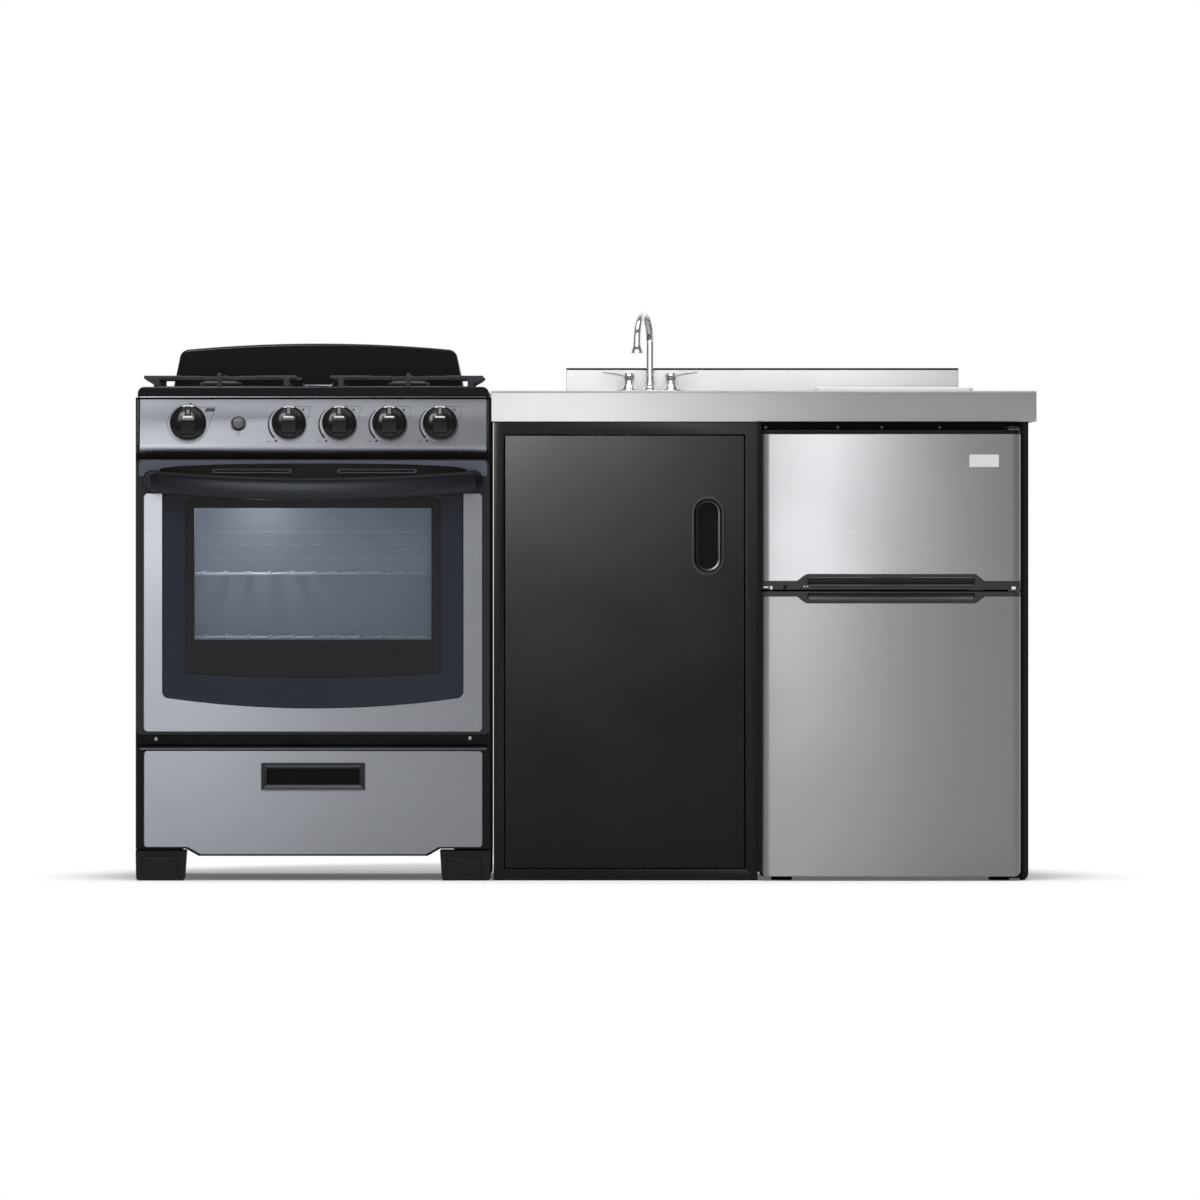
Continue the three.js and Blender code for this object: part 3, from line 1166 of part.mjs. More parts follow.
const cabinetLeft = counterLeft + COUNTER_SHEET + CLEAR;
const cabinetRight = cabinetLeft + CABINET_WIDTH;
const cabinetTop = counterUnder - CLEAR;
const cabinetDoorLeft = cabinetLeft + CABINET_STILE_LEFT;
const cabinetDoorRight = cabinetRight - CABINET_STILE_RIGHT;
const cabinetDoorFront = CLEAR;

/** Pivot pins at the foot and head of the cabinet door, near its left edge. */
const cabinetPivots = (radius) => union(...[CABINET_DOOR_BOTTOM, CABINET_DOOR_TOP].map((z) => (
  bar(radius, z - CABINET_PIVOT_LENGTH, z + CABINET_PIVOT_LENGTH, 12)
    .translate([cabinetDoorLeft + CABINET_PIVOT_INSET, cabinetDoorFront + CABINET_PIVOT_INSET, 0]))));

function cabinetBody() {
  const shell = box(cabinetLeft, cabinetRight, 0, CABINET_DEPTH, 0, cabinetTop);
  const inside = box(cabinetLeft + CABINET_WALL, cabinetRight - CABINET_WALL, CABINET_FRONT_WALL,
    CABINET_DEPTH - CABINET_WALL, CABINET_WALL, cabinetTop + OVER);
  const gap = CABINET_DOOR_GAP;
  const doorway = box(cabinetDoorLeft - gap, cabinetDoorRight + gap, -OVER, CABINET_FRONT_WALL + OVER,
    CABINET_DOOR_BOTTOM - gap, CABINET_DOOR_TOP + gap);
  return union(cut(shell, inside, doorway), cabinetPivots(CABINET_PIVOT_RADIUS));
}

const pullX = cabinetDoorRight - CABINET_PULL_EDGE - CABINET_PULL_WIDTH / 2;

/** The upright slot shape of the recessed pull, drawn in by an inset. */
function pullShape(inset) {
  const half = CABINET_PULL_WIDTH / 2 - inset;
  const z1 = CABINET_PULL_TOP - inset;
  const z0 = CABINET_PULL_TOP - CABINET_PULL_HEIGHT + inset;
  return roundedShape(pullX - half, pullX + half, z0, z1, half - CLEAR);
}

function cabinetDoor() {
  const y0 = cabinetDoorFront;
  const slab = box(cabinetDoorLeft, cabinetDoorRight, y0, y0 + CABINET_DOOR_THICKNESS, CABINET_DOOR_BOTTOM,
    CABINET_DOOR_TOP);
  const hole = frontPlate(pullShape(CABINET_PULL_RIM / 2), -THROUGH, THROUGH, 4);
  return cut(slab, hole, cabinetPivots(CABINET_PIVOT_RADIUS + CLEAR));
}

function cabinetPull() {
  const y1 = cabinetDoorFront - CLEAR;
  const y0 = y1 - CABINET_PULL_FLANGE;
  const floorY = y0 + CABINET_PULL_DEPTH;
  const flange = frontPlate(pullShape(0), y0, y1, 4);
  const cup = frontPlate(pullShape(CABINET_PULL_RIM / 2 + CLEAR), y0, floorY + CABINET_PULL_FLANGE, 4);
  return cut(union(flange, cup), frontPlate(pullShape(CABINET_PULL_RIM), y0 - OVER, floorY, 4));
}

// ---- refrigerator ------------------------------------------------------------------------------------

const panelLeft = counterRight - SIDE_PANEL_INSET - SIDE_PANEL_WIDTH;
const fridgeRight = panelLeft - CLEAR;
const fridgeLeft = fridgeRight - FRIDGE_WIDTH;
const fridgeX = (fridgeLeft + fridgeRight) / 2;
const hingeX = fridgeRight - HINGE_FROM_EDGE;
const splitHalf = HINGE_PLATE / 2 + CLEAR;
const freezerGripBottom = FRIDGE_SPLIT + splitHalf;
const freezerGripTop = freezerGripBottom + FREEZER_GRIP_HEIGHT;
const fridgeGripTop = FRIDGE_SPLIT - splitHalf;
const fridgeGripBottom = fridgeGripTop - FRIDGE_GRIP_HEIGHT;
const fridgeInnerHalf = FRIDGE_WIDTH / 2 - FRIDGE_WALL;
const doorFrontY = FRIDGE_DOOR_BACK - FRIDGE_DOOR_DEPTH;

function sidePanel() {
  const corners = [0, SIDE_PANEL_RADIUS, 0, 0];
  const outline = roundedShape(panelLeft, panelLeft + SIDE_PANEL_WIDTH, 0, cabinetTop, corners);
  return frontPlate(outline, 0, BODY_DEPTH - COUNTER_SHEET);
}

const hingePin = (radius, z0, z1) => bar(radius, z0, z1, 12).translate([hingeX, HINGE_AXIS_Y, 0]);

/** The hole for a hinge pin, round the place where a door or grip meets the plate. */
const hingeHole = (z, down, up) => hingePin(HINGE_PIN_RADIUS + STEM_CLEAR, z - down, z + up);

/** A flat bar under or over a door's hinge edge. */
const hingeLeaf = (y0, y1, z0, z1) =>
  box(hingeX - HINGE_SIDES.left, hingeX + HINGE_SIDES.right, y0, y1, z0, z1);

function fridgeBody() {
  const front = FRIDGE_BODY_FRONT;
  const back = FRIDGE_BODY_BACK;
  const innerBack = back - FRIDGE_WALL;
  const shell = box(fridgeLeft, fridgeRight, front, back, FRIDGE_BASE, FRIDGE_TOP);
  const cavity = (y1, z0, z1) => centredBox(fridgeX, 2 * fridgeInnerHalf, front - OVER, y1, z0, z1);
  const freezer = cavity(innerBack, FRIDGE_SPLIT + FRIDGE_DIVIDER / 2, FRIDGE_TOP - FRIDGE_WALL);
  const fridgeTop = FRIDGE_SPLIT - FRIDGE_DIVIDER / 2;
  const bayTop = FRIDGE_BASE + COMPRESSOR_BAY_HEIGHT;
  const bayFront = back - COMPRESSOR_BAY_DEPTH;
  const upper = cavity(innerBack, bayTop + FRIDGE_WALL, fridgeTop);
  const lower = cavity(bayFront - FRIDGE_WALL, FRIDGE_BASE + FRIDGE_WALL, fridgeTop);
  const bayFloor = FRIDGE_BASE + HINGE_PLATE;
  const bay = centredBox(fridgeX, 2 * fridgeInnerHalf, bayFront, back + OVER, bayFloor, bayTop);
  const ledges = [-1, 1].map((side) => {
    const x = fridgeX + side * (fridgeInnerHalf - SHELF_LEDGE / 2 + OVER);
    return centredBox(x, SHELF_LEDGE + 2 * OVER, front + SHELF_SETBACK, innerBack - OVER,
      SHELF_Z - SHELF_THICKNESS, SHELF_Z);
  });
  const pads = [];
  for (const x of [fridgeLeft + FRIDGE_WALL, fridgeRight - FRIDGE_WALL]) {
    for (const y of [front + FRIDGE_WALL, innerBack]) {
      pads.push(bar(FRIDGE_WALL / 2, 0, FRIDGE_BASE + OVER, 12).translate([x, y, 0]));
    }
  }
  // the bracket and pin that carry the lower door
  const bracketTop = FRIDGE_BASE - CLEAR;
  const bracketBottom = bracketTop - HINGE_PLATE;
  const bracketBack = front + HINGE_BRACKET;
  const bracket = [
    hingeLeaf(HINGE_AXIS_Y - HINGE_SIDES.front, bracketBack, bracketBottom, bracketTop),
    hingeLeaf(front, bracketBack, bracketBottom, FRIDGE_BASE + OVER),
    hingePin(HINGE_PIN_RADIUS, bracketTop - OVER, FRIDGE_BASE + HINGE_PIN_LENGTH),
  ];
  return union(cut(shell, freezer, upper, lower, bay), ...ledges, ...pads, ...bracket);
}

/** A door's plan outline: a bowed front between rounded corners. */
function bowedPlan() {
  const half = FRIDGE_WIDTH / 2 - CLEAR;
  const r = FRIDGE_DOOR_RADIUS;
  const left = fridgeX - half;
  const right = fridgeX + half;
  const y = doorFrontY;
  const cornerY = y - FRIDGE_DOOR_LEAN;
  const shape = new THREE.Shape();
  shape.moveTo(left, FRIDGE_DOOR_BACK);
  shape.lineTo(left, y + r);
  shape.quadraticCurveTo(left, y, left + r, cornerY);
  shape.quadraticCurveTo(fridgeX, y - 2 * FRIDGE_DOOR_BOW, right - r, cornerY);
  shape.quadraticCurveTo(right, y, right, y + r);
  shape.lineTo(right, FRIDGE_DOOR_BACK);
  return shape;
}

/** The grip's front-view outline between the doors, deeper in the middle; dir is 1 up or -1 down. */
function gripShape(baseZ, edgeZ, dir, grow) {
  const half = FRIDGE_WIDTH / 2 + OVER;
  const top = GRIP_TOP_WIDTH / 2 + grow;
  const foot = top + GRIP_CHAMFER;
  const edge = edgeZ + dir * grow;
  const peak = edge + dir * GRIP_RISE;
  const outline = [[-half, baseZ], [half, baseZ], [half, edge], [foot, edge], [top, peak], [-top, peak],
    [-foot, edge], [-half, edge]];
  return polygon(outline.map(([x, z]) => [fridgeX + x, z]));
}

const doorBlock = (z0, z1) => floorPlate(bowedPlan(), z0, z1, 6);
const throughDoor = (shape) => frontPlate(shape, doorFrontY - THROUGH, THROUGH);
const gripCut = (baseZ, edgeZ, dir) => throughDoor(gripShape(baseZ, edgeZ, dir, CLEAR));

function freezerDoor() {
  const block = doorBlock(freezerGripTop + CLEAR, FREEZER_DOOR_TOP);
  const hole = hingeHole(FREEZER_DOOR_TOP, HINGE_PIN_LENGTH + OVER, OVER);
  return cut(block, gripCut(freezerGripBottom, freezerGripTop, 1), hole);
}

function fridgeDoor() {
  const half = FRIDGE_WIDTH / 2;
  const r = FRIDGE_DOOR_RADIUS;
  const face = roundedShape(fridgeX - half, fridgeX + half, FRIDGE_BASE, FRIDGE_SPLIT, [r, r, 0, 0]);
  const block = doorBlock(FRIDGE_BASE, fridgeGripBottom - CLEAR).intersect(throughDoor(face));
  const hole = hingeHole(FRIDGE_BASE, OVER, HINGE_PIN_LENGTH + OVER);
  return cut(block, gripCut(fridgeGripTop, fridgeGripBottom, -1), hole);
}

/** The black strip along a door's edge with a pocket for the fingers behind its lip. */
function doorGrip(baseZ, edgeZ, dir) {
  const z0 = Math.min(baseZ, edgeZ) - 2 * GRIP_RISE;
  const z1 = Math.max(baseZ, edgeZ) + 2 * GRIP_RISE;
  const block = doorBlock(z0, z1).intersect(throughDoor(gripShape(baseZ, edgeZ, dir, 0)));
  const lip = baseZ + dir * GRIP_LIP;
  const peak = edgeZ + dir * (GRIP_RISE - GRIP_WALL);
  const pocketBack = doorFrontY - FRIDGE_DOOR_BOW + GRIP_POCKET_DEPTH;
  const pocket = centredBox(fridgeX, GRIP_TOP_WIDTH - 2 * GRIP_WALL, doorFrontY - THROUGH, pocketBack,
    Math.min(lip, peak), Math.max(lip, peak));
  const reach = HINGE_PIN_LENGTH + OVER;
  return cut(block, pocket, hingeHole(baseZ, reach, reach));
}

/** A flat hinge plate that stands out of the body's front, with its pins. */
function hingePlate(z, pinDown, pinUp) {
  const z0 = z - HINGE_PLATE / 2;
  const z1 = z + HINGE_PLATE / 2;
  const back = FRIDGE_BODY_FRONT - CLEAR;
  const plate = hingeLeaf(HINGE_AXIS_Y - HINGE_SIDES.front, back, z0, z1);
  const tab = hingeLeaf(back - HINGE_PLATE, back, z0, z1 + HINGE_TAB);
  return union(plate, tab, hingePin(HINGE_PIN_RADIUS, z0 - pinDown, z1 + pinUp));
}

/** A glass shelf in a rim, on the two ledges. */
function fridgeShelf() {
  const y1 = FRIDGE_BODY_BACK - FRIDGE_WALL - RUN;
  return centredBox(fridgeX, 2 * (fridgeInnerHalf - RUN), y1 - SHELF_DEPTH, y1, SHELF_Z + CLEAR,
    SHELF_Z + CLEAR + SHELF_THICKNESS);
}

function compressor() {
  const z0 = FRIDGE_BASE + HINGE_PLATE + CLEAR;
  const r = COMPRESSOR_RADIUS;
  const h = COMPRESSOR_HEIGHT;
  const [footR, waistR] = [0.9 * r, 0.7 * r];
  return turned([
    [0, z0], [footR, z0], [footR, z0 + COMPRESSOR_FOOT], [waistR, z0 + 2 * COMPRESSOR_FOOT],
    [r, z0 + 0.35 * h], [r, z0 + 0.7 * h], [waistR, z0 + 0.95 * h], [0, z0 + h],
  ], 16).translate([fridgeX, FRIDGE_BODY_BACK - COMPRESSOR_BAY_DEPTH / 2, 0]);
}

// ---- assembly ----------------------------------------------------------------------------------------

const unit = new THREE.Group();
unit.position.y = -(trimBackY - HANDLE_REACH + COUNTER_BACK) / 2;

// range
unit.add(
  piece("range_body", rangeBody(), blackEnamel),
  piece("oven_liner", ovenLiner(), ovenEnamel),
  piece("oven_burner", ovenBurner(), zinc),
  piece("gas_manifold", gasManifold(), zinc),
  piece("control_panel", controlPanel(), steel),
  piece("cooktop", cooktop(), blackEnamel),
  piece("backguard", backguard(), blackEnamel),
  piece("grate_left", grate(-1), castIron),
  piece("grate_right", grate(1), castIron),
);
for (const [hand, side] of [["left", -1], ["right", 1]]) {
  unit.add(piece(`foot_front_${hand}`, foot(side, true), blackPlastic));
  unit.add(piece(`foot_rear_${hand}`, foot(side, false), blackPlastic));
}
for (const [name, ledge] of Object.entries(RACK_LEDGES)) {
  unit.add(piece(`oven_rack_${name}`, ovenRack(ledge), chrome));
}
for (const [name, side, y, radius] of burnerPlaces) {
  unit.add(piece(name, burner(side, y, radius), blackEnamel));
}
for (const [name, offset] of Object.entries(KNOB_OFFSETS)) {
  const radius = name === "oven" ? OVEN_KNOB_RADIUS : BURNER_KNOB_RADIUS;
  unit.add(panelGroup(offset,
    piece(`${name}_stem`, valveStem(), brass),
    piece(`${name}_knob`, knob(radius), blackPlastic)));
}
unit.add(panelGroup(BUTTON_OFFSET, piece("light_button", lightButton(), blackPlastic)));
unit.add(
  piece("door_frame", doorFrame(), slate),
  piece("door_trim", doorTrim(), steel),
  piece("door_glass", doorGlass(), glass),
  piece("door_inner_panel", doorInnerPanel(), zinc),
  piece("door_handle", doorHandle(), blackPlastic),
  piece("drawer_front", drawerFront(), steel),
  piece("drawer_box", drawerBox(), blackEnamel),
  piece("drawer_pull", drawerPull(), blackPlastic),
);

// counter, sink and tap
const spout = new THREE.Group();
spout.position.set(tapX, TAP_Y, 0);
spout.rotation.z = THREE.MathUtils.degToRad(SPOUT_REST_TURN);
spout.add(piece("faucet_spout", faucetSpout(), chrome));
unit.add(spout);
for (const [name, side] of [["lever_hot", -1], ["lever_cold", 1]]) {
  const mesh = piece(name, faucetLever(side), chrome);
  mesh.position.set(tapX + (side * TAP_SPREAD) / 2, TAP_Y, 0);
  unit.add(mesh);
}
unit.add(
  piece("countertop", countertop(), steel),
  piece("sink_bowl", sinkBowl(), steel),
  piece("sink_strainer", sinkStrainer(), chrome),
  piece("drain_trap", drainTrap(), white),
  piece("faucet_base", faucetBase(), chrome),
  piece("chopping_board", choppingBoard(), white),
);

// cabinet
unit.add(
  piece("cabinet_body", cabinetBody(), blackPaint),
  piece("cabinet_door", cabinetDoor(), blackPaint),
  piece("cabinet_pull", cabinetPull(), blackPlastic),
);

// refrigerator and side panel
unit.add(
  piece("side_panel", sidePanel(), blackPaint),
  piece("fridge_body", fridgeBody(), blackPaint),
  piece("freezer_door", freezerDoor(), steel),
  piece("fridge_door", fridgeDoor(), steel),
  piece("freezer_grip", doorGrip(freezerGripBottom, freezerGripTop, 1), blackPlastic),
  piece("fridge_grip", doorGrip(fridgeGripTop, fridgeGripBottom, -1), blackPlastic),
  piece("hinge_top", hingePlate(FREEZER_DOOR_TOP + splitHalf, HINGE_PIN_LENGTH, 0), zinc),
  piece("hinge_middle", hingePlate(FRIDGE_SPLIT, HINGE_PIN_LENGTH, HINGE_PIN_LENGTH), zinc),
  piece("fridge_shelf", fridgeShelf(), glass),
  piece("compressor", compressor(), blackPaint),
);

export default unit;
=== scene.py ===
"""Looks of the kitchenette unit: a gas range beside a steel counter over a cabinet and a refrigerator.

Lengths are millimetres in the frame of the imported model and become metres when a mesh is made.
"""
import json
import math

import bmesh
import bpy
from mathutils import Matrix, Vector
from mathutils.geometry import tessellate_polygon


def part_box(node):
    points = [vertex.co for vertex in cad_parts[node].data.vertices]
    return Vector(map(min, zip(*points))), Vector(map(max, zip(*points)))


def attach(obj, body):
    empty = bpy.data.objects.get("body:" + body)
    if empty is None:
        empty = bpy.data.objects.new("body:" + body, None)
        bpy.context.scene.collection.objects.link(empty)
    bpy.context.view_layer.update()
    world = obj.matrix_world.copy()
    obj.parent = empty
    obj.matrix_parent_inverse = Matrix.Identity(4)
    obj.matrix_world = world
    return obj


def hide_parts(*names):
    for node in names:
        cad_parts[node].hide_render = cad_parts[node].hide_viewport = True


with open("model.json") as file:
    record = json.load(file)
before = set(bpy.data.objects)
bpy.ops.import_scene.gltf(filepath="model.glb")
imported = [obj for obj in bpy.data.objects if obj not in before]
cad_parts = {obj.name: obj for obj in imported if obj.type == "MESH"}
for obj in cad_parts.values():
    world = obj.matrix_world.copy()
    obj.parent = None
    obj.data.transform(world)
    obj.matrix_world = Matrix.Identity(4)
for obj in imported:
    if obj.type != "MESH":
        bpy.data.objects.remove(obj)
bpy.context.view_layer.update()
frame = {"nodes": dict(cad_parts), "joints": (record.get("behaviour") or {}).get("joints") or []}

MM = 0.001
scene = bpy.context.scene


# ---- reading the frame ---------------------------------------------------------------------------------

class Box:
    """A CAD node's box in millimetres."""

    def __init__(self, node):
        low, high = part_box(node)
        self.x0, self.y0, self.z0 = (v / MM for v in low)
        self.x1, self.y1, self.z1 = (v / MM for v in high)
        self.x = (self.x0 + self.x1) / 2
        self.y = (self.y0 + self.y1) / 2
        self.z = (self.z0 + self.z1) / 2
        self.width = self.x1 - self.x0

    def front(self, inset=0.0):
        """Its front view, drawn in on all sides."""
        return self.x0 + inset, self.x1 - inset, self.z0 + inset, self.z1 - inset

    def plan(self, inset=0.0):
        """Its plan, drawn in on all sides."""
        return self.x0 + inset, self.x1 - inset, self.y0 + inset, self.y1 - inset


def joint(name):
    """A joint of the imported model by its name."""
    return next(j for j in frame["joints"] if j["name"] == name)


# ---- camera --------------------------------------------------------------------------------------------

# Each half of the photograph is seen square on from far away, so the camera is level and 30 m off.
PHOTO_PIXELS = 1200
MM_PER_PIXEL = 1.815
PHOTO_MIDDLE_X = 586       # the pixel column at x = 0
PHOTO_FLOOR_Y = 881
PHOTO_HORIZON_Y = 500
CAMERA_DISTANCE = 30000
SENSOR = 36.0


def px(column, row):
    """The place (x, z) that a pixel of the photograph shows on the front of the unit."""
    return (column - PHOTO_MIDDLE_X) * MM_PER_PIXEL, (PHOTO_FLOOR_Y - row) * MM_PER_PIXEL


def px_box(left, right, top, bottom):
    """The front-view rectangle (x0, x1, z0, z1) that those edges of the photograph's pixels show."""
    x0, z1 = px(left, top)
    x1, z0 = px(right, bottom)
    return x0, x1, z0, z1


def add_camera():
    """A camera that sees the unit as large, and in the same place, as the photograph shows it."""
    data = bpy.data.cameras.new("camera")
    camera = bpy.data.objects.new("camera", data)
    scene.collection.objects.link(camera)
    x, z = px(PHOTO_PIXELS / 2, PHOTO_HORIZON_Y)
    front = Box("door_frame").y0
    camera.location = (x * MM, (front - CAMERA_DISTANCE) * MM, z * MM)
    camera.rotation_euler = (math.pi / 2, 0, 0)
    data.sensor_width = SENSOR
    data.lens = SENSOR * CAMERA_DISTANCE / (PHOTO_PIXELS * MM_PER_PIXEL)
    data.shift_y = (PHOTO_HORIZON_Y - PHOTO_PIXELS / 2) / PHOTO_PIXELS
    data.clip_end = 100
    scene.camera = camera


add_camera()


# ---- materials -----------------------------------------------------------------------------------------

# the colour sockets of a Mix node, which share their names with its number sockets
FIRST_COLOR, SECOND_COLOR, MIXED_COLOR = 6, 7, 2
NOISE_LOW, NOISE_HIGH = 0.3, 0.7       # where most of a noise lies
LEAST_ROUGHNESS = 0.02


class Graph:
    """The shader nodes of a material or world; an input takes a value, or an output to be linked to."""

    def __init__(self, owner):
        owner.use_nodes = True
        self.nodes = owner.node_tree.nodes
        self.links = owner.node_tree.links

    def feed(self, node, inputs):
        """Sets or links inputs, given by name or number."""
        for socket, value in inputs.items():
            if isinstance(value, bpy.types.NodeSocket):
                self.links.new(value, node.inputs[socket])
            else:
                node.inputs[socket].default_value = value

    def add(self, kind, inputs=None, output=0, **settings):
        """Makes a node and gives one of its outputs."""
        node = self.nodes.new(f"ShaderNode{kind}")
        for name, value in settings.items():
            setattr(node, name, value)
        self.feed(node, inputs or {})
        return node.outputs[output]

    def map_range(self, value, start, end, low, high, **settings):
        """The value spread from start..end to low..high."""
        ends = {"From Min": start, "From Max": end, "To Min": low, "To Max": high}
        return self.add("MapRange", {"Value": value, **ends}, **settings)

    def mix(self, factor, otherwise, chosen):
        """One shader where the factor is 0 and the other where it is 1."""
        return self.add("MixShader", {0: factor, 1: otherwise, 2: chosen})

    def finish(self, kind, surface):
        """Links the surface to an output node of that kind."""
        self.feed(self.nodes.new(f"ShaderNodeOutput{kind}"), {0: surface})


class Material(Graph):
    """A principled material that is built up by a few kinds of procedural detail."""

    def __init__(self, name, color, roughness, metallic=0.0, **constants):
        self.material = bpy.data.materials.new(name)
        super().__init__(self.material)
        self.shader = self.nodes["Principled BSDF"]
        self.color = color
        self.roughness = roughness
        self.feed(self.shader, {"Base Color": (*color, 1), "Roughness": roughness, "Metallic": metallic})
        for socket, value in constants.items():
            self.shader.inputs[socket.replace("_", " ").title().replace("Ior", "IOR")].default_value = value
        self.bumps = None

    def noise(self, scale, stretch=(1, 1, 1), detail=3.0):
        """Noise in the object's own space; a larger stretch value makes it finer that way."""
        place = self.add("Mapping", {"Scale": stretch, "Vector": self.add("TexCoord", output="Object")})
        return self.add("TexNoise", {"Scale": scale, "Detail": detail, "Vector": place}, "Fac")

    def tint(self, value, amount):
        """The colour made darker by the value, or lighter where the amount is negative."""
        current = self.shader.inputs["Base Color"]
        base = current.links[0].from_socket if current.is_linked else (*self.color, 1)
        darker = (*[c * (1 - amount) for c in self.color], 1)
        share = self.map_range(value, NOISE_LOW, NOISE_HIGH, 0, 1)
        inputs = {FIRST_COLOR: base, SECOND_COLOR: darker, 0: share}
        self.links.new(self.add("Mix", inputs, MIXED_COLOR, data_type="RGBA"), current)

    def rough(self, value, amount):
        """The roughness moved up and down by the value."""
        low, high = max(self.roughness - amount, LEAST_ROUGHNESS), self.roughness + amount
        self.feed(self.shader, {"Roughness": self.map_range(value, NOISE_LOW, NOISE_HIGH, low, high)})

    def bump(self, value, depth):
        """Relief of that depth in millimetres."""
        inputs = {"Strength": 1.0, "Distance": depth * MM, "Height": value}
        if self.bumps:
            inputs["Normal"] = self.bumps
        self.bumps = self.add("Bump", inputs)
        self.feed(self.shader, {"Normal": self.bumps})


def brushed(name, color, roughness=0.36, along="x", tone=0.10):
    """Satin steel with a fine grain along one axis and broad, faint cloudiness."""
    m = Material(name, color, roughness, 1.0, anisotropic=0.6, anisotropic_rotation=0.25)
    fine = (14, 900, 900) if along == "x" else (900, 900, 14)
    medium = (5, 260, 260) if along == "x" else (260, 260, 5)
    m.tint(m.noise(1.0, fine, 2.0), tone)
    m.tint(m.noise(1.0, medium, 3.0), tone * 0.7)
    m.rough(m.noise(3.0, (1, 1, 1), 2.0), 0.04)
    m.bump(m.noise(1.0, fine, 2.0), 0.012)
    return m.material


def enamel(name, color, roughness, ripple=0.02, **constants):
    """Glossy enamel or moulded plastic with a faint orange peel."""
    m = Material(name, color, roughness, 0.0, **constants)
    m.rough(m.noise(6.0, detail=4.0), roughness * 0.2)
    m.bump(m.noise(160.0, detail=1.0), ripple)
    m.tint(m.noise(2.5, detail=2.0), 0.15)
    return m.material


def powder(name, color, roughness, grain=0.03, **constants):
    """Satin powder coat or textured plastic with a fine grain."""
    m = Material(name, color, roughness, 0.0, **constants)
    m.bump(m.noise(900.0, detail=2.0), grain)
    m.tint(m.noise(1.6, detail=4.0), 0.18)
    m.rough(m.noise(5.0, detail=3.0), 0.05)
    return m.material


def cast(name, color):
    """Matt enamelled iron with a sandy surface."""
    m = Material(name, color, 0.55, 0.0, specular_ior_level=0.5)
    m.bump(m.noise(700.0, detail=4.0), 0.08)
    m.tint(m.noise(30.0, detail=4.0), 0.3)
    m.rough(m.noise(60.0), 0.1)
    return m.material


def speckled(name, color):
    """Oven enamel: a grey ground with fine pale specks."""
    m = Material(name, color, 0.3, 0.0)
    m.tint(m.noise(500.0, detail=1.0), -0.7)
    m.bump(m.noise(120.0, detail=1.0), 0.02)
    return m.material


def polished(name, color, roughness):
    """Plated or bare metal with barely visible polishing marks."""
    m = Material(name, color, roughness, 1.0)
    m.rough(m.noise(40.0, detail=3.0), roughness * 0.5)
    m.bump(m.noise(90.0, detail=1.0), 0.004)
    return m.material


def clear(name, color, alpha, roughness=0.06):
    """Tinted glass."""
    m = Material(name, color, roughness, 0.0, alpha=alpha)
    m.rough(m.noise(8.0), roughness * 0.4)
    return m.material


# painted light: one stainless steel in three copies, each coloured for the light its part gets; the counter's
# copy is much lighter
RANGE_STEEL = brushed("range_steel", (0.32, 0.332, 0.362), 0.40)
FRIDGE_STEEL = brushed("fridge_steel", (0.34, 0.343, 0.353), 0.42, tone=0.06)
COUNTER_STEEL_LIGHTER = brushed("counter_steel_painted_lighter", (0.58, 0.58, 0.585), 0.40, tone=0.06)
INNER_STEEL = brushed("inner_steel", (0.5, 0.5, 0.5), 0.3, along="y", tone=0.1)
CHROME = polished("chrome", (0.86, 0.87, 0.88), 0.07)
RACK_CHROME = powder("rack_plating", (0.62, 0.64, 0.68), 0.35, 0.004)
ZINC = polished("zinc", (0.42, 0.43, 0.44), 0.35)
INNER_GREY = powder("inner_panel_grey", (0.22, 0.23, 0.25), 0.42, 0.003)
BRASS = polished("brass", (0.62, 0.45, 0.18), 0.25)
GLOSS_BLACK = enamel("gloss_black", (0.008, 0.0084, 0.0096), 0.16, specular_ior_level=0.25)
BODY_BLACK = enamel("body_black", (0.0035, 0.0035, 0.004), 0.32, specular_ior_level=0.2)
BURNER_BLACK = powder("burner_black", (0.012, 0.012, 0.013), 0.5)
KNOB_BLACK = enamel("knob_black", (0.006, 0.0065, 0.008), 0.2, 0.01, specular_ior_level=0.3)
PLASTIC_BLACK = powder("plastic_black", (0.006, 0.0063, 0.008), 0.36, 0.01, specular_ior_level=0.3)
HANDLE_BLACK = powder("handle_black", (0.006, 0.007, 0.010), 0.34, 0.008, specular_ior_level=0.25)
SLATE = powder("slate", (0.015, 0.018, 0.030), 0.36, 0.01, specular_ior_level=0.3)
BAND_SLATE = powder("band_slate", (0.075, 0.086, 0.112), 0.36, 0.01)
WINDOW_BLACK = enamel("window_black", (0.012, 0.0125, 0.0145), 0.3, specular_ior_level=0.3)
CABINET_BLACK = powder("cabinet_black", (0.003, 0.0031, 0.0035), 0.36, 0.02, specular_ior_level=0.17)
FRIDGE_BLACK = powder("fridge_black", (0.004, 0.004, 0.0045), 0.42, 0.03, specular_ior_level=0.2)
GRATE_IRON = cast("grate_iron", (0.036, 0.038, 0.045))
OVEN_ENAMEL = speckled("oven_enamel", (0.27, 0.29, 0.33))
# painted shade: dark marks in the flame slots, the strainer's holes and the aerator's mouth
OPENING_SHADE = powder("painted_opening_shade", (0.012, 0.012, 0.012), 0.7)
GASKET = powder("gasket_grey", (0.18, 0.18, 0.18), 0.6)
LINER_WHITE = enamel("liner_white", (0.78, 0.79, 0.79), 0.35)
BOARD_WHITE = powder("board_white", (0.86, 0.86, 0.85), 0.5, 0.05)
PRINT_BLACK = powder("print_black", (0.015, 0.015, 0.018), 0.6, 0.005)
PRINT_WHITE = powder("print_white", (0.5, 0.51, 0.53), 0.5, 0.005)
OVEN_GLASS = clear("oven_glass", (0.10, 0.115, 0.14), 0.42)
SHELF_GLASS = clear("shelf_glass", (0.55, 0.66, 0.66), 0.45)
EDGE_LIGHT = brushed("edge_light", (0.33, 0.35, 0.39), 0.3)
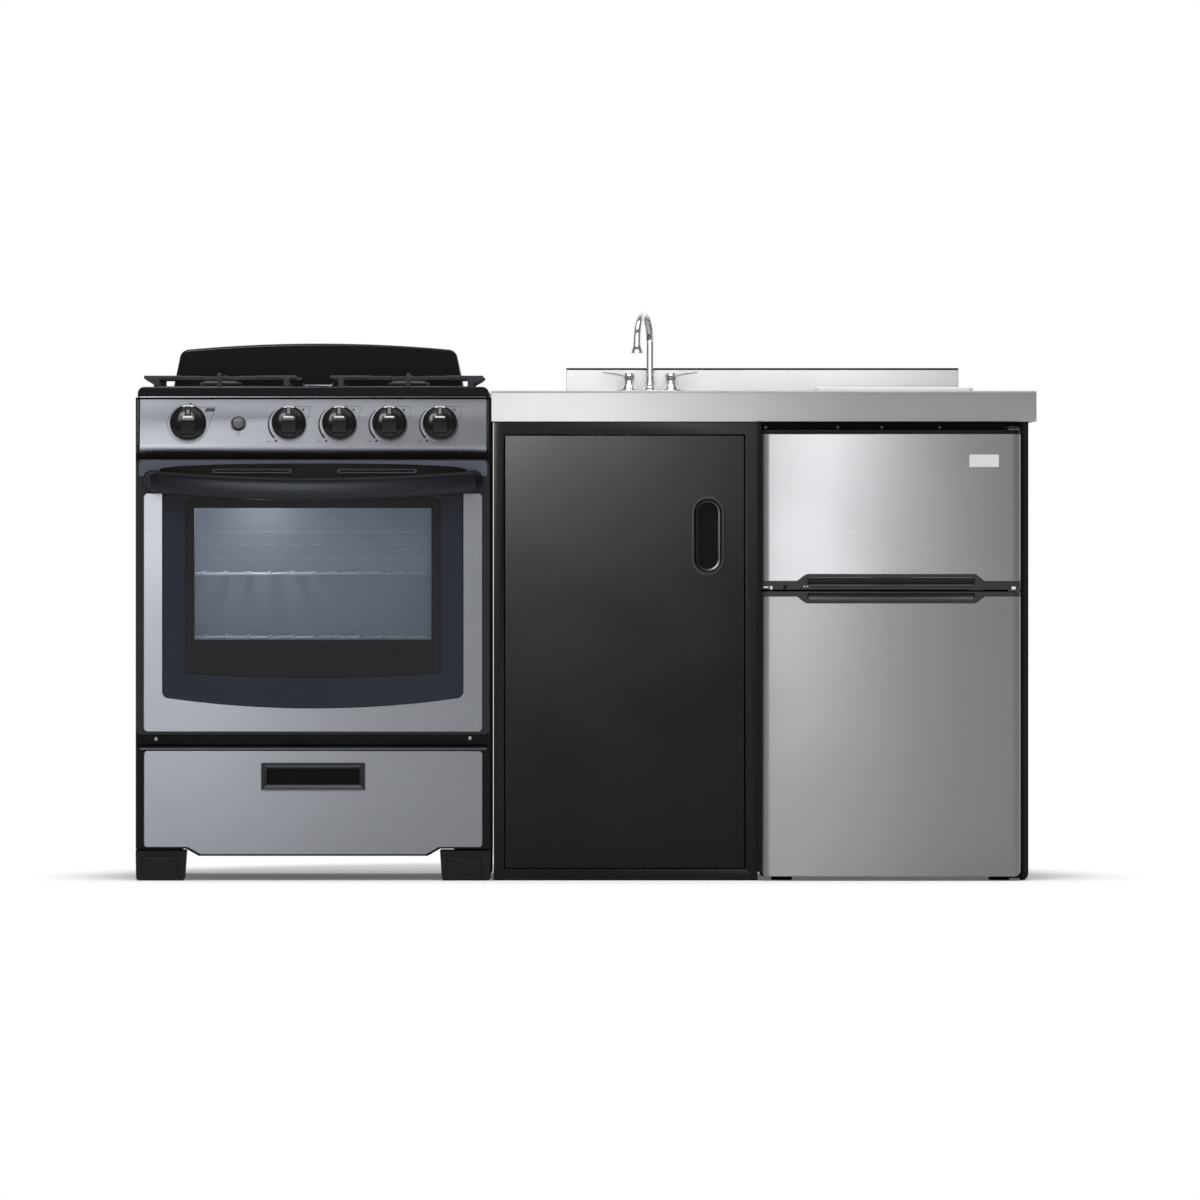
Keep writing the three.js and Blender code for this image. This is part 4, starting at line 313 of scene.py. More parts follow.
# pale silver for the pointers and hardware, and a painted glint on the knobs' grips
SILVER_AND_GLINT = powder("silver_and_painted_glint", (0.62, 0.63, 0.66), 0.4, 0.005)
# grey of the knobs' pointer stems, lightened as a painted highlight
INLAY_LIGHTENED = powder("inlay_grey_painted_highlight", (0.13, 0.135, 0.15), 0.4, 0.005)
BUTTON_GREY = powder("button_grey", (0.02, 0.022, 0.03), 0.3, 0.005)
SLATE_DARK = powder("slate_dark", (0.006, 0.0068, 0.0095), 0.4, 0.01)
VENT_GREY = powder("vent_grey", (0.06, 0.065, 0.08), 0.4, 0.01)
PULL_BLACK = powder("pull_black", (0.008, 0.009, 0.014), 0.3, 0.008)
# pale strips painted as highlights on the drawer pull's bevels
PULL_PAINTED_HIGHLIGHT = powder("pull_painted_highlight", (0.12, 0.135, 0.18), 0.35, 0.004)
# darker than the pull's black: painted shade on the floor of its deep pocket
POCKET_NAVY_SHADE = powder("pocket_navy_painted_shade", (0.0012, 0.0015, 0.004), 0.4, 0.004, specular_ior_level=0.15)
PIPE_WHITE = enamel("pipe_white", (0.72, 0.72, 0.70), 0.4)
CABINET_PULL = enamel("cabinet_pull", (0.007, 0.0074, 0.008), 0.3, 0.01, specular_ior_level=0.35)
# darker than the cabinet's pull and door: painted shade on the floor of the pull's recess
CABINET_RECESS_SHADE = enamel("cabinet_recess_painted_shade", (0.002, 0.0022, 0.0026), 0.34, 0.01, specular_ior_level=0.2)
GRIP_BLACK = powder("grip_charcoal", (0.024, 0.025, 0.028), 0.4, 0.01)
# grey of the grip's thin lines, and painted light on the finger rest's slope
GRIP_GREY_AND_LIT_SLOPE = powder("grip_grey_and_painted_light", (0.13, 0.132, 0.14), 0.4, 0.01)
PLATE_SILVER = powder("plate_silver", (0.62, 0.63, 0.64), 0.35, 0.004)
DARK_SCREW = powder("dark_screw", (0.05, 0.05, 0.055), 0.4, 0.004)


# ---- meshes --------------------------------------------------------------------------------------------

SHARP = math.radians(32)   # edges sharper than this are rounded or stay crisp
CRISP = math.radians(12)   # the same for plates, whose flat faces stay flat beside their rounded rims
THROUGH = 900              # far enough to cut through the whole unit


def piece(name, bm, material, body, replaced=(), rounding=0.0, segments=3, sharp=SHARP):
    """Makes the mesh a piece that rides on a body, with its sharp edges rounded."""
    bmesh.ops.recalc_face_normals(bm, faces=bm.faces)
    bmesh.ops.scale(bm, vec=(MM, MM, MM), verts=bm.verts)
    made = as_object(name, bm)
    made.data.shade_smooth()
    made.data.set_sharp_from_angle(angle=sharp)
    made.data.materials.append(material)
    if rounding:
        bevel = made.modifiers.new("round", "BEVEL")
        bevel.width = rounding * MM
        bevel.segments = segments
        bevel.limit_method = "ANGLE"
        bevel.angle_limit = SHARP
        bevel.use_clamp_overlap = False
        bevel.miter_outer = "MITER_ARC"
        bevel.harden_normals = True
    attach(made, body)
    if replaced:
        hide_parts(*replaced)
    return made


def turns(count):
    """Angles that share a whole turn evenly."""
    return [2 * math.pi * i / count for i in range(count)]


def filleted(corners, steps=8):
    """An outline of (a, b) points from corners given as (a, b, radius)."""
    outline = []
    count = len(corners)
    for i, (a, b, radius) in enumerate(corners):
        here = Vector((a, b))
        if radius <= 0:
            outline.append(here)
            continue
        before = (Vector(corners[i - 1][:2]) - here).normalized()
        after = (Vector(corners[(i + 1) % count][:2]) - here).normalized()
        turn = before.angle(after)
        reach = radius / math.tan(turn / 2)
        start, end = here + before * reach, here + after * reach
        middle = here + (before + after).normalized() * (radius / math.sin(turn / 2))
        first, last = start - middle, end - middle
        bend = first.angle_signed(last)
        for k in range(steps + 1):
            angle = -bend * k / steps
            c, s = math.cos(angle), math.sin(angle)
            outline.append(middle + Vector((c * first.x - s * first.y, s * first.x + c * first.y)))
    return outline


def rounded_rect(a0, a1, b0, b1, radius, steps=8):
    """A rectangle with rounded corners; radius is one number, or four from lower left anticlockwise."""
    r = radius if isinstance(radius, (list, tuple)) else [radius] * 4
    return filleted([(a0, b0, r[0]), (a1, b0, r[1]), (a1, b1, r[2]), (a0, b1, r[3])], steps)


def prism(outline, low, high, place):
    """The outline (a, b) drawn out from low to high; place turns (a, b, height) into a point."""
    bm = bmesh.new()
    front = [bm.verts.new(place(a, b, low)) for a, b in outline]
    back = [bm.verts.new(place(a, b, high)) for a, b in outline]
    bm.faces.new(front)
    bm.faces.new(back[::-1])
    for i in range(len(front)):
        j = (i + 1) % len(front)
        bm.faces.new((front[i], back[i], back[j], front[j]))
    bmesh.ops.recalc_face_normals(bm, faces=bm.faces)
    return bm


def front_plate(outline, y0, y1):
    """A front-view outline (x, z) from its front at y0 to its back at y1."""
    return prism(outline, y0, y1, lambda a, b, h: (a, h, b))


def right_through(outline):
    """A front-view outline deep enough to cut through anything."""
    return front_plate(outline, -THROUGH, THROUGH)


def drawn_in(loop, inset, hole):
    """The closed loop moved into the plate's material by that much."""
    count = len(loop)
    twice_area = sum(loop[i - 1].cross(loop[i]) for i in range(count))
    way = 1 if (twice_area > 0) != hole else -1
    moved_loop = []
    for i, here in enumerate(loop):
        before = (here - loop[i - 1]).normalized()
        after = (loop[(i + 1) % count] - here).normalized()
        side = Vector((-before.y - after.y, before.x + after.x)) * way
        moved_loop.append(here + side * (inset / (1 + before.dot(after))))
    return moved_loop


def holed_plate(outline, holes, y0, y1, rounding=0.0, steps=3):
    """A front-view plate with holes right through it and rounded front edges."""
    loops = [[Vector(p).to_2d() for p in loop] for loop in (outline, *holes)]
    quarter = [math.pi / 2 * k / steps for k in range(steps + 1)] if rounding else [math.pi / 2]
    levels = [(rounding * (1 - math.sin(t)), y0 + rounding * (1 - math.cos(t))) for t in quarter]
    levels.append((0.0, y1))
    bm = bmesh.new()
    rings = []
    for inset, y in levels:
        inner = [drawn_in(loop, inset, i > 0) if inset > 1e-6 else loop for i, loop in enumerate(loops)]
        rings.append([[bm.verts.new((p.x, y, p.y)) for p in loop] for loop in inner])
    for ring in (rings[0], rings[-1]):
        flat = [vertex for loop in ring for vertex in loop]
        for corners in tessellate_polygon([[Vector((v.co.x, v.co.z, 0)) for v in loop] for loop in ring]):
            bm.faces.new([flat[i] for i in corners])
    for near, far in zip(rings, rings[1:]):
        for first, second in zip(near, far):
            for i in range(len(first)):
                j = (i + 1) % len(first)
                bm.faces.new((first[i], second[i], second[j], first[j]))
    return bm


def floor_plate(outline, z0, z1):
    """A plan outline (x, y) from z0 up to z1."""
    return prism(outline, z0, z1, lambda a, b, h: (a, b, h))


def side_plate(outline, x0, x1):
    """A side-view outline (y, z) from x0 to x1."""
    return prism(outline, x0, x1, lambda a, b, h: (h, a, b))


def block(x0, x1, y0, y1, z0, z1):
    """A rectangular block."""
    return floor_plate([(x0, y0), (x1, y0), (x1, y1), (x0, y1)], z0, z1)


def join(*meshes):
    """Several meshes as one."""
    whole = meshes[0]
    for other in meshes[1:]:
        part = bpy.data.meshes.new("part")
        other.to_mesh(part)
        other.free()
        whole.from_mesh(part)
        bpy.data.meshes.remove(part)
    return whole


def as_object(name, bm):
    """The mesh as an object of the scene."""
    mesh = bpy.data.meshes.new(name)
    bm.to_mesh(mesh)
    bm.free()
    made = bpy.data.objects.new(name, mesh)
    scene.collection.objects.link(made)
    return made


def carve(bm, *tools, operation="DIFFERENCE"):
    """The mesh with others cut out of it, or only what it shares with them."""
    whole = as_object("tool", bm)
    others = [as_object("tool", tool) for tool in tools]
    for tool in others:
        modifier = whole.modifiers.new("carve", "BOOLEAN")
        modifier.operation = operation
        modifier.solver = "EXACT"
        modifier.object = tool
    result = bmesh.new()
    result.from_mesh(whole.evaluated_get(bpy.context.evaluated_depsgraph_get()).data)
    for made in (whole, *others):
        mesh = made.data
        bpy.data.objects.remove(made)
        bpy.data.meshes.remove(mesh)
    bmesh.ops.remove_doubles(result, verts=result.verts, dist=0.001)
    bmesh.ops.dissolve_limit(result, angle_limit=math.radians(0.3), verts=result.verts, edges=result.edges)
    return result


def lathe(profile, sides=48):
    """A turned mesh about +Z from (radius, height) points; a point on the axis closes an end."""
    bm = bmesh.new()
    rings = []
    for radius, height in profile:
        if radius < 1e-6:
            rings.append([bm.verts.new((0, 0, height))])
            continue
        around = [(radius * math.cos(t), radius * math.sin(t)) for t in turns(sides)]
        rings.append([bm.verts.new((x, y, height)) for x, y in around])
    for low, high in zip(rings, rings[1:]):
        for i in range(sides):
            j = (i + 1) % sides
            corners = [low[i % len(low)], low[j % len(low)], high[j % len(high)], high[i % len(high)]]
            unique = list(dict.fromkeys(corners))
            if len(unique) > 2:
                bm.faces.new(unique)
    return bm


def raised(base, profile):
    """A profile whose heights are measured from a base."""
    return [(radius, base + height) for radius, height in profile]


def stepped(radius, base, steps, crown):
    """A profile from (distance in from the rim, height over the base) pairs, closed on the axis."""
    rim = [(radius - inset, base + height) for inset, height in steps]
    return [(0, rim[0][1]), *rim, (0, base + crown)]


def rod(radius, low, high, sides):
    """A round bar about +Z."""
    return lathe([(0, low), (radius, low), (radius, high), (0, high)], sides)


def sweep(stations, hoop=False):
    """A closed skin over rings of points with the same count; a hoop joins its last ring to its first."""
    bm = bmesh.new()
    rings = [[bm.verts.new(point) for point in ring] for ring in stations]
    count = len(rings[0])
    for first, second in zip(rings, rings[1:] + rings[:1] if hoop else rings[1:]):
        for i in range(count):
            j = (i + 1) % count
            bm.faces.new((first[i], first[j], second[j], second[i]))
    if not hoop:
        bm.faces.new(rings[0][::-1])
        bm.faces.new(rings[-1])
    return bm


def pipe(points, radius, sides):
    """A round bar along points."""
    points = [Vector(p) for p in points]
    tangents = [(points[min(i + 1, len(points) - 1)] - points[max(i - 1, 0)]).normalized()
                for i in range(len(points))]
    normal = tangents[0].orthogonal().normalized()
    rings = []
    for point, tangent in zip(points, tangents):
        normal = (normal - tangent * normal.dot(tangent)).normalized()
        other = tangent.cross(normal)
        rings.append([point + radius * (math.cos(t) * normal + math.sin(t) * other) for t in turns(sides)])
    return sweep(rings)


def forward(x, y, z):
    """Turns what stands up along +Z to point out of the front, and takes it to a place."""
    return Matrix.Translation((x, y, z)) @ Matrix.Rotation(math.pi / 2, 4, "X")


def moved(bm, matrix):
    """The mesh itself, moved and turned."""
    bmesh.ops.transform(bm, matrix=matrix, verts=bm.verts)
    return bm


def shifted(bm, x=0.0, y=0.0, z=0.0):
    """The mesh itself, moved along the axes."""
    return moved(bm, Matrix.Translation((x, y, z)))


def copied(node):
    """A CAD node's shape as a clean mesh in millimetres."""
    bm = bmesh.new()
    bm.from_mesh(frame["nodes"][node].data)
    bmesh.ops.scale(bm, vec=(1 / MM, 1 / MM, 1 / MM), verts=bm.verts)
    bmesh.ops.remove_doubles(bm, verts=bm.verts, dist=0.005)
    bmesh.ops.dissolve_limit(bm, angle_limit=math.radians(0.5), verts=bm.verts, edges=bm.edges)
    return bm


def eased(node, material, body, rounding, segments, name=None):
    """A CAD node's shape with its edges eased, in its place."""
    return piece(name or f"{node}_eased", copied(node), material, body, (node,), rounding, segments)


def paint(node, material):
    """A CAD node that stays, with a finish."""
    mesh = frame["nodes"][node].data
    mesh.materials.clear()
    mesh.materials.append(material)


# ---- range: back, hob and grates -----------------------------------------------------------------------

RANGE = Box("range_body")
range_x = RANGE.x
BURNERS = ["burner_front_left", "burner_front_right", "burner_rear_left", "burner_rear_right"]
BURNER_HOLE = 26        # radius
BURNER_HEIGHT = 19      # from the flange to the cap's top
FLAME_SLOTS = 24


def backguard():
    """The gloss black upright with sloping ends and an arched top, hollow from behind."""
    b = Box("backguard")
    slope, corner, arch = 14, 17, 12
    shoulder = b.z1 - arch

    def outline(inset):
        left, right = b.x0 + slope + inset, b.x1 - slope - inset
        crown = [(left + (right - left) * t, shoulder - inset + arch * (1 - (2 * t - 1) ** 2))
                 for t in [i / 28 for i in range(1, 28)]]
        corners = [(b.x0 + inset, b.z0 + inset, 0), (b.x1 - inset, b.z0 + inset, 0),
                   (right, shoulder - inset, corner - inset)]
        corners += [(x, z, 0) for x, z in reversed(crown[1:-1])]
        corners += [(left, shoulder - inset, corner - inset)]
        return filleted(corners, 10)

    shell = front_plate(outline(0), b.y0, b.y1)
    hollow = front_plate(outline(3), b.y0 + 5, b.y1 + 5)
    piece("backguard_shell", carve(shell, hollow), GLOSS_BLACK, "unit", ("backguard",), 4, 4)


def cooktop():
    """The hob: a rounded front rail with a bright bead under it, and a sunken well with burner holes."""
    b = Box("cooktop")
    edge, rim, well = 12, 22, 8
    slab = front_plate(rounded_rect(*b.front(), [1, 1, edge, edge], 10), b.y0, b.y1)
    back = Box("grate_left").y1 + rim / 2
    hollow = floor_plate(rounded_rect(b.x0 + rim, b.x1 - rim, b.y0 + rim, back, 18, 10),
                         b.z1 - well, b.z1 + 10)
    holes = [shifted(rod(BURNER_HOLE, 0, 40, 40), Box(node).x, Box(node).y, b.z0 - 5) for node in BURNERS]
    piece("cooktop_tray", carve(slab, hollow, *holes), GLOSS_BLACK, "unit",
          ("cooktop",), 2.5, 3)
    rail = front_plate(rounded_rect(b.x0 + 4, b.x1 - 4, b.z0 - 0.1, b.z0 + 1.6, 0.8, 3), b.y0 - 0.2, b.y0 + 3)
    piece("cooktop_bead", shifted(rail, y=0.3), EDGE_LIGHT, "unit")


def burner(node):
    """A flanged aluminium ring under a domed black cap, with dark marks painted as the shade in its flame
    slots.
    """
    b = Box(node)
    radius = b.width / 2
    floor = b.z1 - BURNER_HEIGHT
    foot = [(0, b.z0), (14, b.z0), (16, b.z0 + 1), (21, floor)]
    flange = stepped(radius, floor, [(0.6, 0), (0, 0.8), (0, 2.4), (1, 3), (6, 4), (6, 10), (9, 11)], 11)
    ring = lathe(foot + flange[1:], 64)
    piece(f"{node}_ring", shifted(ring, b.x, b.y), ZINC, "unit", (node,))
    dome = [(3, 11.2), (2, 12), (2, 14.6), (3.2, 16), (8, 17.6), (16, 18.6)]
    cap = lathe(stepped(radius, floor, dome, BURNER_HEIGHT), 64)
    piece(f"{node}_cap", shifted(cap, b.x, b.y), BURNER_BLACK, "unit")
    # the flame slots are not cut: dark marks on the ring's wall are painted shade for them
    slots = []
    for turn in turns(FLAME_SLOTS):
        slot = block(radius - 6.3, radius - 5.7, -0.9, 0.9, floor + 5.5, floor + 9.5)
        slots.append(moved(slot, Matrix.Rotation(turn, 4, "Z")))
    piece(f"{node}_slots", shifted(join(*slots), b.x, b.y), OPENING_SHADE, "unit")


def grates():
    """The two cast grates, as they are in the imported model, with eased edges."""
    for side in ("left", "right"):
        node = f"grate_{side}"
        eased(node, GRATE_IRON, node, 1.6, 2, f"{node}_bars")


def flue_trim():
    """The low rail between the grates, in front of the back's vent."""
    top = Box("cooktop").z1
    z = top + 6
    y = Box("backguard").y0 - 40
    hooked = [(range_x + x, y, z + rise) for x, rise in ((-28, 3), (-25, 0), (25, 0), (28, 3))]
    legs = [block(range_x + x - 2, range_x + x + 2, y - 2, y + 2, top - 7.9, z) for x in (-22, 22)]
    piece("flue_rail", join(pipe(hooked, 1.6, 10), *legs), EDGE_LIGHT, "unit")


# ---- range: control panel ------------------------------------------------------------------------------

KNOBS = ["oven", "burner_1", "burner_2", "burner_3", "burner_4"]
outward = Vector(joint("oven_turn")["axis"]).normalized()
across = Vector((1, 0, 0))
upslope = outward.cross(across)


def on_panel(x, rise=0.0, lift=0.0):
    """The place on the panel's face at x, a distance up the slope from the knobs' axes and lifted off it."""
    axis = Vector(joint("oven_turn")["pos_m"]) / MM
    origin = Vector((x, axis.y, axis.z)) + upslope * rise + outward * lift
    matrix = Matrix((across, upslope, outward)).transposed().to_4x4()
    matrix.translation = origin
    return matrix


def knob_x(name):
    """Where a knob stands along the panel."""
    return joint(f"{name}_turn")["pos_m"][0] / MM


PANEL_END = 6       # black end caps
PANEL_RADIUS = 12
PRINT_HEIGHT = 0.12


def control_panel():
    """The sloping steel face with its rounded lower edge, between black end caps."""
    b = Box("control_panel")
    tilt = math.atan2(outward.z, -outward.y)
    axis = Vector(joint("oven_turn")["pos_m"]) / MM

    def face(z):
        return axis.y - (axis.z - z) * math.tan(tilt)

    profile = filleted([(b.y1, b.z1, 0), (b.y1, b.z0, 0), (face(b.z0), b.z0, PANEL_RADIUS),
                        (face(b.z1), b.z1, 0)], 12)
    steel = side_plate(profile, b.x0 + PANEL_END, b.x1 - PANEL_END)
    piece("panel_face", steel, RANGE_STEEL, "unit", ("control_panel",), 0.6, 2)
    for side, x0 in (("left", b.x0), ("right", b.x1 - PANEL_END + 0.3)):
        cap = side_plate(profile, x0, x0 + PANEL_END - 0.3)
        piece(f"panel_cap_{side}", cap, PLASTIC_BLACK, "unit", (), 2.0, 3)


def ring_plate(outer, inner, start, end, steps, height):
    """A flat band round the axis from one angle to another, in degrees; radii may change along it."""
    def edge(radius):
        points = []
        for t in [i / steps for i in range(steps + 1)]:
            angle = math.radians(start + (end - start) * t)
            points.append((radius(t) * math.cos(angle), radius(t) * math.sin(angle)))
        return points

    return floor_plate(edge(outer) + edge(inner)[::-1], 0, height)


def strip(points, width, height=PRINT_HEIGHT):
    """A thin printed line through flat points."""
    parts = []
    for (a0, b0), (a1, b1) in zip(points, points[1:]):
        along = Vector((a1 - a0, b1 - b0)).normalized()
        side = Vector((-along.y, along.x)) * width / 2
        first, last = Vector((a0, b0)) - along * width / 2, Vector((a1, b1)) + along * width / 2
        parts.append(floor_plate([first - side, last - side, last + side, first + side], 0, height))
    return join(*parts)


def panel_print():
    """The marks round the knobs: rings, tapered arcs, dots and flag lines, with no words."""
    marks, pale = [], []
    oven = on_panel(knob_x("oven"))
    ring = ring_plate(lambda t: 37.6, lambda t: 36.9, 55, 352, 72, PRINT_HEIGHT)
    flag = strip([(21, 31.5), (50, 31.5), (37.5, -5)], 0.7)
    icon = floor_plate([(30, 22.5), (33, 30), (48, 30), (48, 23.5), (35, 23.5)], 0, PRINT_HEIGHT)
    tick = strip([(0, 36), (2.5, 38.6), (6.5, 39.4)], 1.6)
    for mark in (ring, flag, icon, tick):
        marks.append(moved(mark, oven))
    for name in KNOBS[1:]:
        place = on_panel(knob_x(name))
        arc = ring_plate(lambda t: 36.9 + 3.0 * t, lambda t: 35.6 - 0.2 * t, 134, 226, 32, 0.16)
        dot = shifted(rod(2.3, 0, PRINT_HEIGHT, 20), -23.5, -33)
        flag = strip([(-3, 33.5), (40, 33.5), (34.5, 8)], 0.6)
        dash = shifted(rod(2.1, 0, PRINT_HEIGHT, 20), 26, 27)
        small = strip([(-40, -34), (-32, -34)], 0.8)
        for mark in (arc, dot, flag, dash, small):
            marks.append(moved(mark, place))
        pale.append(moved(ring_plate(lambda t: 34.4, lambda t: 33.3, 118, 262, 40, 0.1), place))
    below = shifted(ring_plate(lambda t: 3.3, lambda t: 2.7, 0, 359.9, 32, PRINT_HEIGHT), y=-21)
    marks.append(moved(below, on_panel(Box("light_button").x)))
    piece("panel_marks", join(*marks), PRINT_BLACK, "unit")
    piece("panel_rings", join(*pale), PRINT_WHITE, "unit")


OVEN_KNOB_RADIUS, BURNER_KNOB_RADIUS = 33, 31
KNOB_LIFT = 4.0         # the knob's back stands this far off the panel
GRIP_RISE = 24.0        # the grip's bar over the knob's back
KNOB_DOME = [(1.2, 0), (0, 1.2), (0, 5), (0.8, 7), (3, 9), (7, 12), (12, 14), (20, 15.2)]


def knob(name):
    """A domed knob with a wide grip under a pale bar painted as its highlight, and a narrow fin that slopes
    up to its head.
    """
    node = f"{name}_knob"
    radius = OVEN_KNOB_RADIUS if name == "oven" else BURNER_KNOB_RADIUS
    place = on_panel(knob_x(name))
    base = KNOB_LIFT
    dome = lathe(stepped(radius, base, KNOB_DOME, 15.8), 72)
    piece(f"{name}_dome", moved(dome, place), KNOB_BLACK, node, (node,))
    # side views (along the slope, height) of the fin and the grip
    foot, head, top = 6 - radius, radius - 6, base + GRIP_RISE
    fin = [(0, base + 8, 0), (head, base + 8, 0), (head, base + 17, 3), (6, base + 24.4, 4),
           (0, base + 24.4, 2)]
    grip = [(foot, base + 8, 0), (6, base + 8, 0), (5, base + 24.2, 2), (-5, base + 24.2, 7),
            (foot + 1, base + 15, 5)]
    for part, corners, half in (("fin", fin, 5.5), ("grip", grip, 13.5)):
        solid = prism(filleted(corners, 6), -half, half, lambda a, b, h: (h, a, b))
        piece(f"{name}_{part}", moved(solid, place), KNOB_BLACK, node, (), 2.2, 4)
    # bright pointer: a crescent at the head and a stem down the fin, whose grey is lightened as a painted
    # highlight; a pale bar over the grip paints the grip's highlight
    inside = lambda t: radius - 6.4 + 2.2 * abs(2 * t - 1) ** 2
    crescent = ring_plate(lambda t: radius - 2.2, inside, 70, 110, 16, 3.6)
    piece(f"{name}_crescent", moved(crescent, place @ Matrix.Translation((0, 0, base + 8.6))), SILVER_AND_GLINT, node,
          (), 0.3, 2)
    stem = filleted([(-3.1, 9, 0.8), (3.1, 9, 0.8), (2.4, radius - 7.5, 0.6), (-2.4, radius - 7.5, 0.6)], 3)
    slope = Matrix.Translation((0, 7, top)) @ Matrix.Rotation(math.radians(-23), 4, "X")
    inlay = moved(shifted(floor_plate(stem, 0, 0.8), y=-7), slope)
    piece(f"{name}_inlay", moved(inlay, place), INLAY_LIGHTENED, node, (), 0.2, 1)
    # painted highlight: a pale bar across the grip's top
    grip_glint = floor_plate(rounded_rect(-9, 9, 1.4, 4.6, 1.2, 3), top, base + 24.9)
    piece(f"{name}_ridge", moved(grip_glint, place), SILVER_AND_GLINT, node, (), 0.3, 2)


def light_button():
    """A round button in a black collar, with a groove across its face."""
    place = on_panel(Box("light_button").x)
    collar = lathe([(12.9, -1), (14.2, -1), (14.2, 0.8), (13.6, 1.3), (12.9, 1.3), (12.9, -1)], 56)
    piece("button_collar", moved(collar, place), KNOB_BLACK, "unit")
    cap = lathe([(0, -4), (12.2, -4), (12.2, 4.4), (11.6, 5.4), (10.4, 5.9), (9.6, 5.2), (0, 5.5)], 56)
    groove = block(-9.4, 9.4, -1.3, 1.3, 4.4, 7)
    barrel = shifted(rod(4, 0, 49, 16), z=-52.9)
    face = carve(cap, groove)
    piece("button_cap", moved(join(face, barrel), place), BUTTON_GREY, "light_button",
          ("light_button",))


# ---- range: oven door ----------------------------------------------------------------------------------

def sag_points(x0, x1, side_z, sag):
    """The corners of a lower edge that sags in the middle, from left to right, without its ends."""
    return [(x0 + (x1 - x0) * t, side_z - sag * (1 - (2 * t - 1) ** 2), 0)
            for t in [i / 32 for i in range(3, 30)]]


def sagging(x0, x1, side_z, sag, top, radius):
    """A rounded outline whose lower edge sags in the middle."""
    return filleted([(x0, side_z, radius), *sag_points(x0, x1, side_z, sag), (x1, side_z, radius),
                     (x1, top, radius), (x0, top, radius)], 8)


BEZEL = {"half": 272.5, "side": 334, "sag": 20}
GLASS_LAP = 8.5     # how far the frame laps over the pane
WINDOW = {"half": 231, "top": 697, "side": 376, "sag": 8, "recess": 10}


def window_hole(y0, y1):
    """What is seen through the oven door's panes, from y0 to y1."""
    x0, x1, z0, z1 = Box("door_glass").front(GLASS_LAP)
    return block(x0, x1, y0, y1, z0, z1)


def door_frame():
    """The black frame with its slate band, the hollow behind the handle and the framed window."""
    b = Box("door_frame")
    trim = Box("door_trim")
    face = trim.y1 + 0.3
    glass = Box("door_glass")
    slab = front_plate(rounded_rect(*b.front(), 10), face, b.y1)
    half, bottom, side, rise = 280, trim.z1 + 6, 743, 15       # the hollow behind the handle
    arch = [(range_x + half * math.cos(a), side + rise * math.sin(a) ** 0.6)
            for a in [math.pi * i / 32 for i in range(33)]]
    outline = arch + [(range_x - half, bottom), (range_x + half, bottom)]
    scoop = front_plate(outline, face - 5, face + 10)
    opening = window_hole(b.y0 - 5, b.y1 + 5)
    rebate = block(glass.x0 - 1.5, glass.x1 + 1.5, glass.y0 - 0.3, b.y1 + 5, glass.z0 - 1.5, glass.z1 + 1.5)
    notches = [block(range_x + s * 268 - 6.8, range_x + s * 268 + 6.8, -277, b.y1 + 5, b.z0 - 5, 275.8)
               for s in (-1, 1)]
    piece("door_slab", carve(slab, scoop, opening, rebate, *notches), SLATE_DARK, "oven_door",
          ("door_frame",), 2.0, 3)
    # the slate surround of the window stands proud of the slab
    bezel = sagging(range_x - BEZEL["half"], range_x + BEZEL["half"], BEZEL["side"], BEZEL["sag"],
                    trim.z1, 12)
    recess = sagging(range_x - WINDOW["half"], range_x + WINDOW["half"], WINDOW["side"], WINDOW["sag"],
                     WINDOW["top"], 8)
    surround = holed_plate(bezel, [recess], b.y0, face, 2.2)
    piece("window_surround", surround, SLATE, "oven_door", sharp=CRISP)
    mask = sagging(range_x - WINDOW["half"] + 0.2, range_x + WINDOW["half"] - 0.2, WINDOW["side"] + 0.2,
                   WINDOW["sag"], WINDOW["top"] - 0.2, 8)
    hole = rounded_rect(*glass.front(GLASS_LAP), 2)
    piece("window_mask", holed_plate(mask, [hole], face - 0.8, face - 0.2), WINDOW_BLACK, "oven_door",
          sharp=CRISP)
    # the lighter band along the top, cut away by the arch
    band = front_plate(rounded_rect(b.x0 + 5, b.x1 - 5, 735, b.z1 - 2, [0, 0, 8, 8]), face - 0.5, face)
    under = front_plate(outline, face - 5, face + 5)
    piece("door_band", carve(band, under), BAND_SLATE, "oven_door", (), 0.3, 1)
    # vents in the hollow
    for left, right in ((212, 291.5), (337, 417)):
        x0, x1, z0, z1 = px_box(left, right, 468.8, 473.4)
        lip = rounded_rect(x0, x1, z0, z1, 3)
        slot = rounded_rect(x0 + 5, x1 - 5, z0 + 2.6, z1 - 2.6, 1.4)
        vent = holed_plate(lip, [slot], face + 6, face + 9.8, 0.8)
        piece(f"vent_{left}", vent, VENT_GREY, "oven_door", sharp=CRISP)


def door_trim():
    """The stainless surround, open at the top, with rolled edges."""
    b = Box("door_trim")
    left, right = range_x - BEZEL["half"] - 0.4, range_x + BEZEL["half"] + 0.4
    low = BEZEL["side"] - 0.4
    outline = filleted([(b.x0, b.z1, 8), (b.x0, b.z0, 8), (b.x1, b.z0, 8), (b.x1, b.z1, 8), (right, b.z1, 3),
                        (right, low, 12), *sag_points(left, right, low, BEZEL["sag"])[::-1], (left, low, 12),
                        (left, b.z1, 3)], 8)
    piece("trim_sheet", holed_plate(outline, [], b.y0, b.y1, 1.2), RANGE_STEEL, "oven_door",
          ("door_trim",), sharp=CRISP)


HANDLE_Z = 726          # the middle of the bar at its ends


